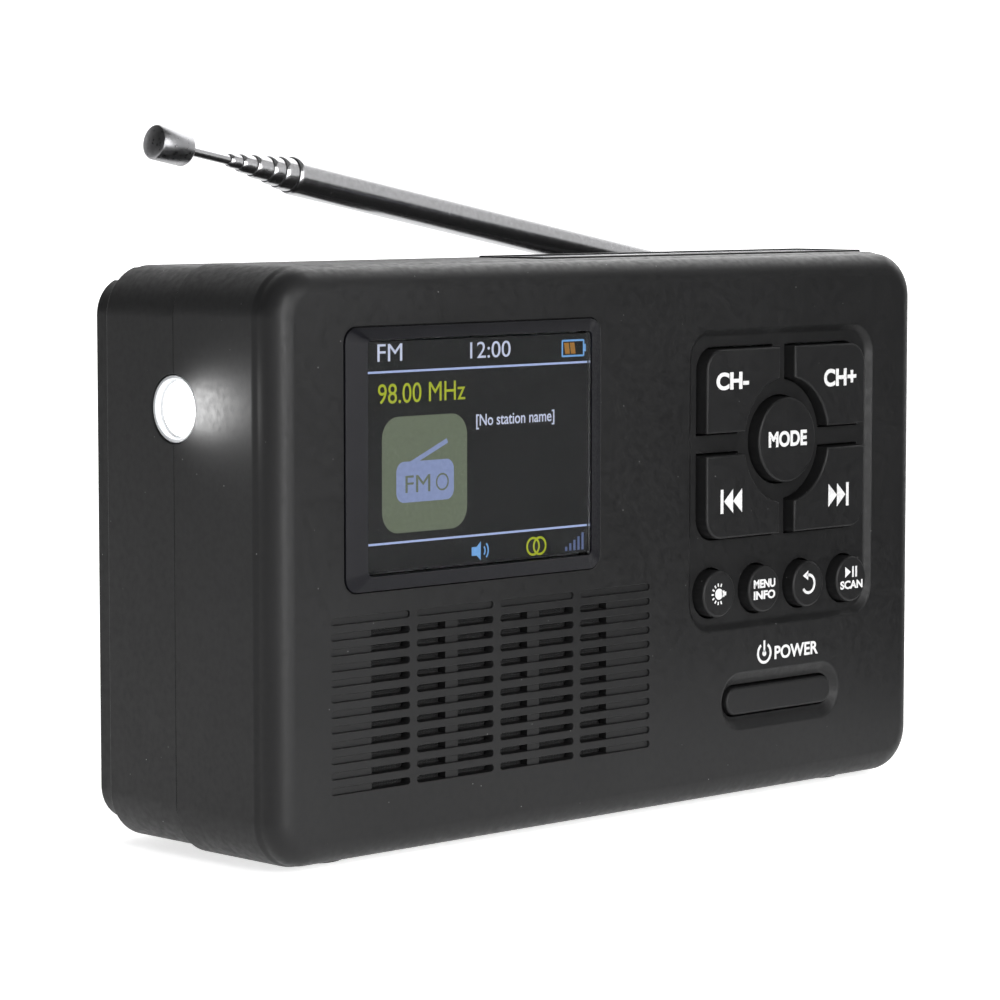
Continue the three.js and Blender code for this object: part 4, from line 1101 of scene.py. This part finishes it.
SECTION_R = [3.25, 2.8, 2.4, 2.0, 1.6, 1.22, 0.85]
MAST_WALL = 0.3
SECTION_WALL = 0.28
SECTION_LIP = 0.28
MAST_START = 5.2
MAST_END = 102.3
SECTION_SHOW = [2.6, 2.4, 3.2, 2.8, 2.4]  # how much of each section stands out of the one before
AERIAL_LENGTH = 131.5
TIP_R = 2.88
TIP_L = 6.8
TANG_R = 4.0


def rolled_tube(name, outer, start, end, wall):
    """A thin tube whose open end is rolled in to hold the next section."""
    inner = outer - wall
    profile = [(outer, start), (outer, end - 0.75), (outer - 0.05, end - 0.4), (outer - 0.14, end - 0.12)]
    profile += [(outer - SECTION_LIP + 0.04, end), (outer - SECTION_LIP - 0.02, end - 0.04)]
    profile += [(inner - 0.02, end - 0.3), (inner, end - 0.8), (inner, start)]
    return turned(name, profile, on_aerial, closed=True)


def mast():
    r = SECTION_R[0]
    tube = rolled_tube("aerial_outer_tube", r, MAST_START - 2.5, MAST_END, MAST_WALL)
    plug = turned("plug", [(0, 1.6), (r - 0.2, 1.6), (r - 0.01, 2.2), (r - 0.01, 9), (0, 9)], on_aerial)
    pivot_x, mid_y, pivot_z = to_case(PIVOT)
    place = along_y(pivot_x, pivot_z)
    tang = [(0, mid_y - 2.2), (TANG_R - 0.3, mid_y - 2.2), (TANG_R, mid_y - 1.9), (TANG_R, mid_y + 1.9)]
    tang += [(TANG_R - 0.3, mid_y + 2.2), (0, mid_y + 2.2)]
    hole = [(0, mid_y - 5), (1.42, mid_y - 5), (1.42, mid_y + 1.0), (2.4, mid_y + 1.0)]
    hole += [(2.4, mid_y + 5), (0, mid_y + 5)]
    steps = [
        ("UNION", plug),
        ("UNION", turned("tang", tang, place)),
        ("DIFFERENCE", turned("tang hole", hole, place)),
    ]
    combine(tube, steps)
    install(tube, "mast", CHROME, "chrome", "aerial_mast")


def sections():
    end = MAST_END
    for i, show in enumerate(SECTION_SHOW, start=1):
        end += show
        tube = rolled_tube(f"aerial_tube_{i + 1}", SECTION_R[i], MAST_START + 7 + 1.5 * i, end, SECTION_WALL)
        install(tube, f"section_{i + 1}", CHROME, "chrome", f"aerial_section_{i + 1}")


def rod_and_tip():
    rod_r = SECTION_R[-1]
    tip_start = AERIAL_LENGTH - TIP_L
    rod_profile = [(0, 23.2), (rod_r, 23.2), (rod_r, tip_start + 1), (0, tip_start + 1)]
    rod = turned("aerial_thin_rod", rod_profile, on_aerial, sides=32)
    install(rod, "rod", CHROME, "chrome", "aerial_rod")
    tip = [(0, tip_start), (TIP_R - 0.75, tip_start), (TIP_R - 0.3, tip_start + 0.12)]
    tip += [(TIP_R, tip_start + 0.6), (TIP_R, AERIAL_LENGTH - 0.45), (TIP_R - 0.13, AERIAL_LENGTH - 0.13)]
    tip += [(TIP_R - 0.45, AERIAL_LENGTH), (0, AERIAL_LENGTH)]
    install(turned("aerial_end_cap", tip, on_aerial), "rod", SATIN, "chrome", "aerial_tip")


# ---- crank
CRANK_HUB = Vector(joint("crank_turn")["pos_m"])
GRIP_PIN = Vector(joint("grip_fold")["pos_m"])
ARM_ALONG = (GRIP_PIN - CRANK_HUB).normalized()
ARM_UP = Vector(joint("grip_fold")["axis"]).normalized()
ARM_LENGTH = (GRIP_PIN - CRANK_HUB).length / MM
ARM_HALF_W = 4.2
GRIP_HALF_W = 2.5
GRIP_L = 27.0


def on_arm(u, y, w):
    """u millimetres from the hub towards the grip pin, y in the case's frame and w up across the arm."""
    point = CRANK_HUB + (ARM_ALONG * u + ARM_UP * w) * MM
    point.y = FACE_Y + y * MM
    return point


def arm_block(name, u0, u1, y0, y1, w0, w1, bevel):
    """A block in the arm's own directions."""
    made = block(name, u0, u1, y0, y1, w0, w1, bevel)
    for v in made.data.vertices:
        v.co = on_arm(*to_case(v.co))
    bm = bmesh.new()
    bm.from_mesh(made.data)
    bmesh.ops.recalc_face_normals(bm, faces=bm.faces)
    bm.to_mesh(made.data)
    bm.free()
    return made


def crank():
    low, high = case_box("crank_arm")
    y0, y1 = low.y, high.y
    hub_r = 8.6
    hub = to_case(CRANK_HUB)
    rounded = [(0, y0), (hub_r - 0.3, y0), (hub_r, y0 + 0.3)]
    rounded += [(hub_r - inset, y1 - back) for inset, back in quarter(1.0, 6)]
    rounded += [(5.2, y1), (4.9, y1 - 0.25), (0, y1 - 0.25)]
    place = along_y(hub.x, hub.z)
    arm = arm_block("crank_lever", 0, ARM_LENGTH + 5, y0, y1, -ARM_HALF_W, ARM_HALF_W, 0.8)
    slot_w = GRIP_HALF_W + 0.3
    slot = arm_block("slot", ARM_LENGTH - GRIP_L - 0.6, ARM_LENGTH + 2.3, 40, 60, -slot_w, slot_w, 0.25)
    shaft = [(0, 40), (2.72, 40), (2.72, y1 - 1.2), (0, y1 - 1.2)]
    steps = [
        ("UNION", turned("hub", rounded, place)),
        ("DIFFERENCE", slot),
        ("DIFFERENCE", turned("shaft hole", shaft, place)),
    ]
    combine(arm, steps)
    install(arm, "crank", KEY, "key", "crank_arm")
    grip_y = (y0 + y1) / 2
    grip_box = (ARM_LENGTH - GRIP_L, ARM_LENGTH + 1.9, grip_y - 1.9, grip_y + 1.9, -GRIP_HALF_W, GRIP_HALF_W)
    grip = arm_block("crank_handle", *grip_box, 0.9)
    grooves = []
    for k in range(9):
        u = ARM_LENGTH - GRIP_L + 5 + 1.7 * k
        grooves.append(arm_block("groove", u, u + 0.7, grip_y + 1.55, grip_y + 3, -3.2, 3.2, 0.12))
    combine(grip, [("DIFFERENCE", joined("grip grooves", grooves))])
    install(grip, "grip", KEY, "key", "crank_grip")


# ---- rear sockets and solar cell
def usb_socket():
    low, high = case_box("usb_socket")
    rect = (low.x + 0.15, high.x - 0.15, low.z + 0.15, high.z - 0.15, 1.6)
    back, front = low.y, high.y
    edge = [(back, 0), (front - 0.1, 0), (front, -0.1), (front, -0.25), (front - 0.1, -0.33)]
    edge.append((back + 1.2, -0.33))
    shell = loft("charging_socket", [ring(grown_rect(rect, g), y) for y, g in edge])
    mid_z = (low.z + high.z) / 2
    tongue_sides = (low.x + 1.5, high.x - 1.5, back + 1.0, front - 1.2)
    combine(shell, [("UNION", block("tongue", *tongue_sides, mid_z - 0.35, mid_z + 0.35, 0.1))])
    install(shell, "case", STEEL, "steel", "usb_socket")


def headphone_socket():
    low, high = case_box("headphone_socket")
    r = (high.x - low.x) / 2
    back, front = low.y, high.y
    profile = [(0, back), (r, back), (r, front - 0.3), (r - 0.25, front), (2.2, front)]
    profile += [(1.85, front - 0.25), (1.8, back + 1), (0, back + 1)]
    socket = turned("earphone_socket", profile, along_y(*centre_of("headphone_socket")))
    install(socket, "case", KEY, "key", "headphone_socket")


def solar_panel():
    low, high = case_box("solar_frame")
    cell_low, cell_high = case_box("solar_cell")
    frame_piece = block("solar_surround", low.x, high.x, low.y, high.y, low.z, high.z, 0.2)
    tray = block("tray", low.x + 1.5, high.x - 1.5, low.y + 1.5, high.y - 1.5, cell_low.z - 0.3, high.z + 1)
    combine(frame_piece, [("DIFFERENCE", tray)])
    install(frame_piece, "case", CASING, "casing", "solar_frame")
    glass_box = (cell_low.x, cell_high.x, cell_low.y, cell_high.y, cell_low.z, cell_high.z)
    glass = block("solar_glass", *glass_box, 0.1)
    install(glass, "case", SOLAR, "solar", "solar_cell")


def carried_over():
    """CAD nodes whose shape stays, with a finished material each."""
    finishes = {
        CLOTH: ["speaker_cloth"],
        PAPER: ["speaker_cone"],
        STEEL: [
            "lcd_back_frame", "speaker_basket", "speaker_magnet", "gear_plate", "generator",
            "generator_pinion", "crank_shaft", "crank_grip_pin", "aerial_screw",
        ],
        CHROME: ["torch_reflector"],
        BOARD: ["main_board", "key_board", "torch_board", "socket_board"],
        NYLON: ["crank_wheel", "idler_gear", "battery_cradle"],
        SILICONE: ["key_mat"],
        SLEEVE: ["battery_cell"],
        LAMP_CLEAR: ["torch_led"],
        BEZEL: ["lcd_panel"],
    }
    for material, names in finishes.items():
        for name in names:
            data = frame["nodes"][name].data
            data.materials.clear()
            data.materials.append(material)


# ---- studio
AZIMUTH = -44.125
ELEVATION = 5.08
LENS = 135.4
CAMERA_DISTANCE = 0.6364
CAMERA_TARGET = at(-6.26, 24.0, 51.4)


def look_along(obj, place, direction):
    """Puts a camera or a lamp in its place and turns it to look along a direction."""
    obj.location = place
    obj.rotation_mode = "QUATERNION"
    obj.rotation_quaternion = direction.to_track_quat("-Z", "Y")


def camera():
    a, e = math.radians(AZIMUTH), math.radians(ELEVATION)
    back = Vector((math.sin(a) * math.cos(e), -math.cos(a) * math.cos(e), math.sin(e)))
    data = bpy.data.cameras.new("camera")
    data.lens = LENS
    data.sensor_width = 36
    data.clip_start = 0.01
    data.clip_end = 20
    eye = new_object("camera", data)
    look_along(eye, CAMERA_TARGET + back * CAMERA_DISTANCE, -back)
    bpy.context.scene.camera = eye


def softbox(name, place, target, size, power, spread=180):
    data = bpy.data.lights.new(name, "AREA")
    data.shape = "RECTANGLE"
    data.size, data.size_y = size
    data.energy = power
    data.spread = math.radians(spread)
    lamp = new_object(name, data)
    look_along(lamp, place, target - place)
    return lamp


def torch_spill():
    """The light that the lit torch throws along the side of the case."""
    data = bpy.data.lights.new("torch spill", "SPOT")
    data.energy = 0.018
    data.spot_size = math.radians(115)
    data.spot_blend = 1
    data.shadow_soft_size = 0.0045
    start = at(CASE_LEFT - 5, PARTING_Y - 1.0, TORCH_Z)
    aim = at(CASE_LEFT, PARTING_Y - 6, TORCH_Z)
    look_along(new_object("torch spill", data), start, aim - start)


def beside_view(u, w, z):
    """A point u metres to the right of the camera's line of sight, w metres beyond the radio, z up."""
    a = math.radians(AZIMUTH)
    right = Vector((math.cos(a), math.sin(a), 0))
    away = Vector((-math.sin(a), math.cos(a), 0))
    return right * u + away * w + Vector((0, 0, z))


def dark_card():
    """A black card on the floor, bent up at its far side, that keeps the front face dark."""
    bm = bmesh.new()
    corners = [(0.125, 0.0005), (0.56, 0.0005), (0.6, 0.04), (0.6, 0.42)]
    near, far = ([bm.verts.new(beside_view(u, w, z)) for u, z in corners] for w in (-0.26, 0.24))
    for i in range(len(corners) - 1):
        bm.faces.new((near[i], near[i + 1], far[i + 1], far[i]))
    card = finish_mesh(bm, "dark card")
    card.data.materials.append(rubber("black card", (0.01, 0.01, 0.01)))


def aerial_light():
    """A softbox whose light falls on the aerial only."""
    lamp = softbox("aerial light", beside_view(0.46, 0.0, 0.27), at(-30, 43, 105), (0.55, 0.5), 0.7)
    lit = bpy.data.collections.new("lit by the aerial light")
    for obj in bpy.context.scene.collection.objects:
        if obj.name.startswith("aerial_"):
            lit.objects.link(obj)
    lamp.light_linking.receiver_collection = lit


def surroundings():
    """A dark room that gets lighter towards its ceiling."""
    world = bpy.data.worlds.new("studio")
    world.use_nodes = True
    tree = world.node_tree
    around = new_node(tree, "TexCoord", {}).outputs["Generated"]
    height = new_node(tree, "SeparateXYZ", {"Vector": around}).outputs["Z"]
    ceiling = ramp(tree, height, [(0.3, 0.025), (0.7, 0.08), (0.95, 0.3)])
    put(tree.nodes["Background"], {"Color": ceiling, "Strength": 1})
    bpy.context.scene.world = world
    bpy.context.scene.view_settings.view_transform = "Standard"


def floor_and_backdrop():
    """One pale sheet that bends up behind the radio."""
    reach = 4.0
    sweep = [(-reach, 0.0), (1.0, 0.0)]
    bend = [math.radians(a) for a in range(10, 91, 10)]
    sweep += [(1.0 + math.sin(a), 1.0 - math.cos(a)) for a in bend]
    sweep.append((2.0, 4.0))
    bm = bmesh.new()
    rows = [[bm.verts.new(beside_view(u, w, z)) for u in (-reach, reach)] for w, z in sweep]
    for (a, b), (c, d) in zip(rows, rows[1:]):
        bm.faces.new((a, b, d, c))
    floor = finish_mesh(bm, "floor", 60)
    floor.data.materials.append(pale_floor("pale floor"))


def studio():
    surroundings()
    floor_and_backdrop()
    centre = at(0, 24, 46)
    softbox("right softbox", at(600, 260, 520), at(0, 60, 90), (0.7, 0.6), 1.5, spread=130)
    softbox("front light", at(80, -460, 120), centre, (0.14, 0.4), 1.05)
    softbox("edge strip", at(-200, -470, 120), at(-76, 0, 46), (0.08, 0.5), 2.8)
    softbox("back light", at(700, 1000, 800), at(900, 1300, 0), (1.4, 1.0), 3, spread=120)
    dark_card()
    aerial_light()
    torch_spill()


camera()
display_picture()
front_shell()
rear_shell()
feet()
case_screws()
keys()
legends()
display_bezel()
display_lens()
torch()
mast()
sections()
rod_and_tip()
crank()
usb_socket()
headphone_socket()
solar_panel()
carried_over()
studio()
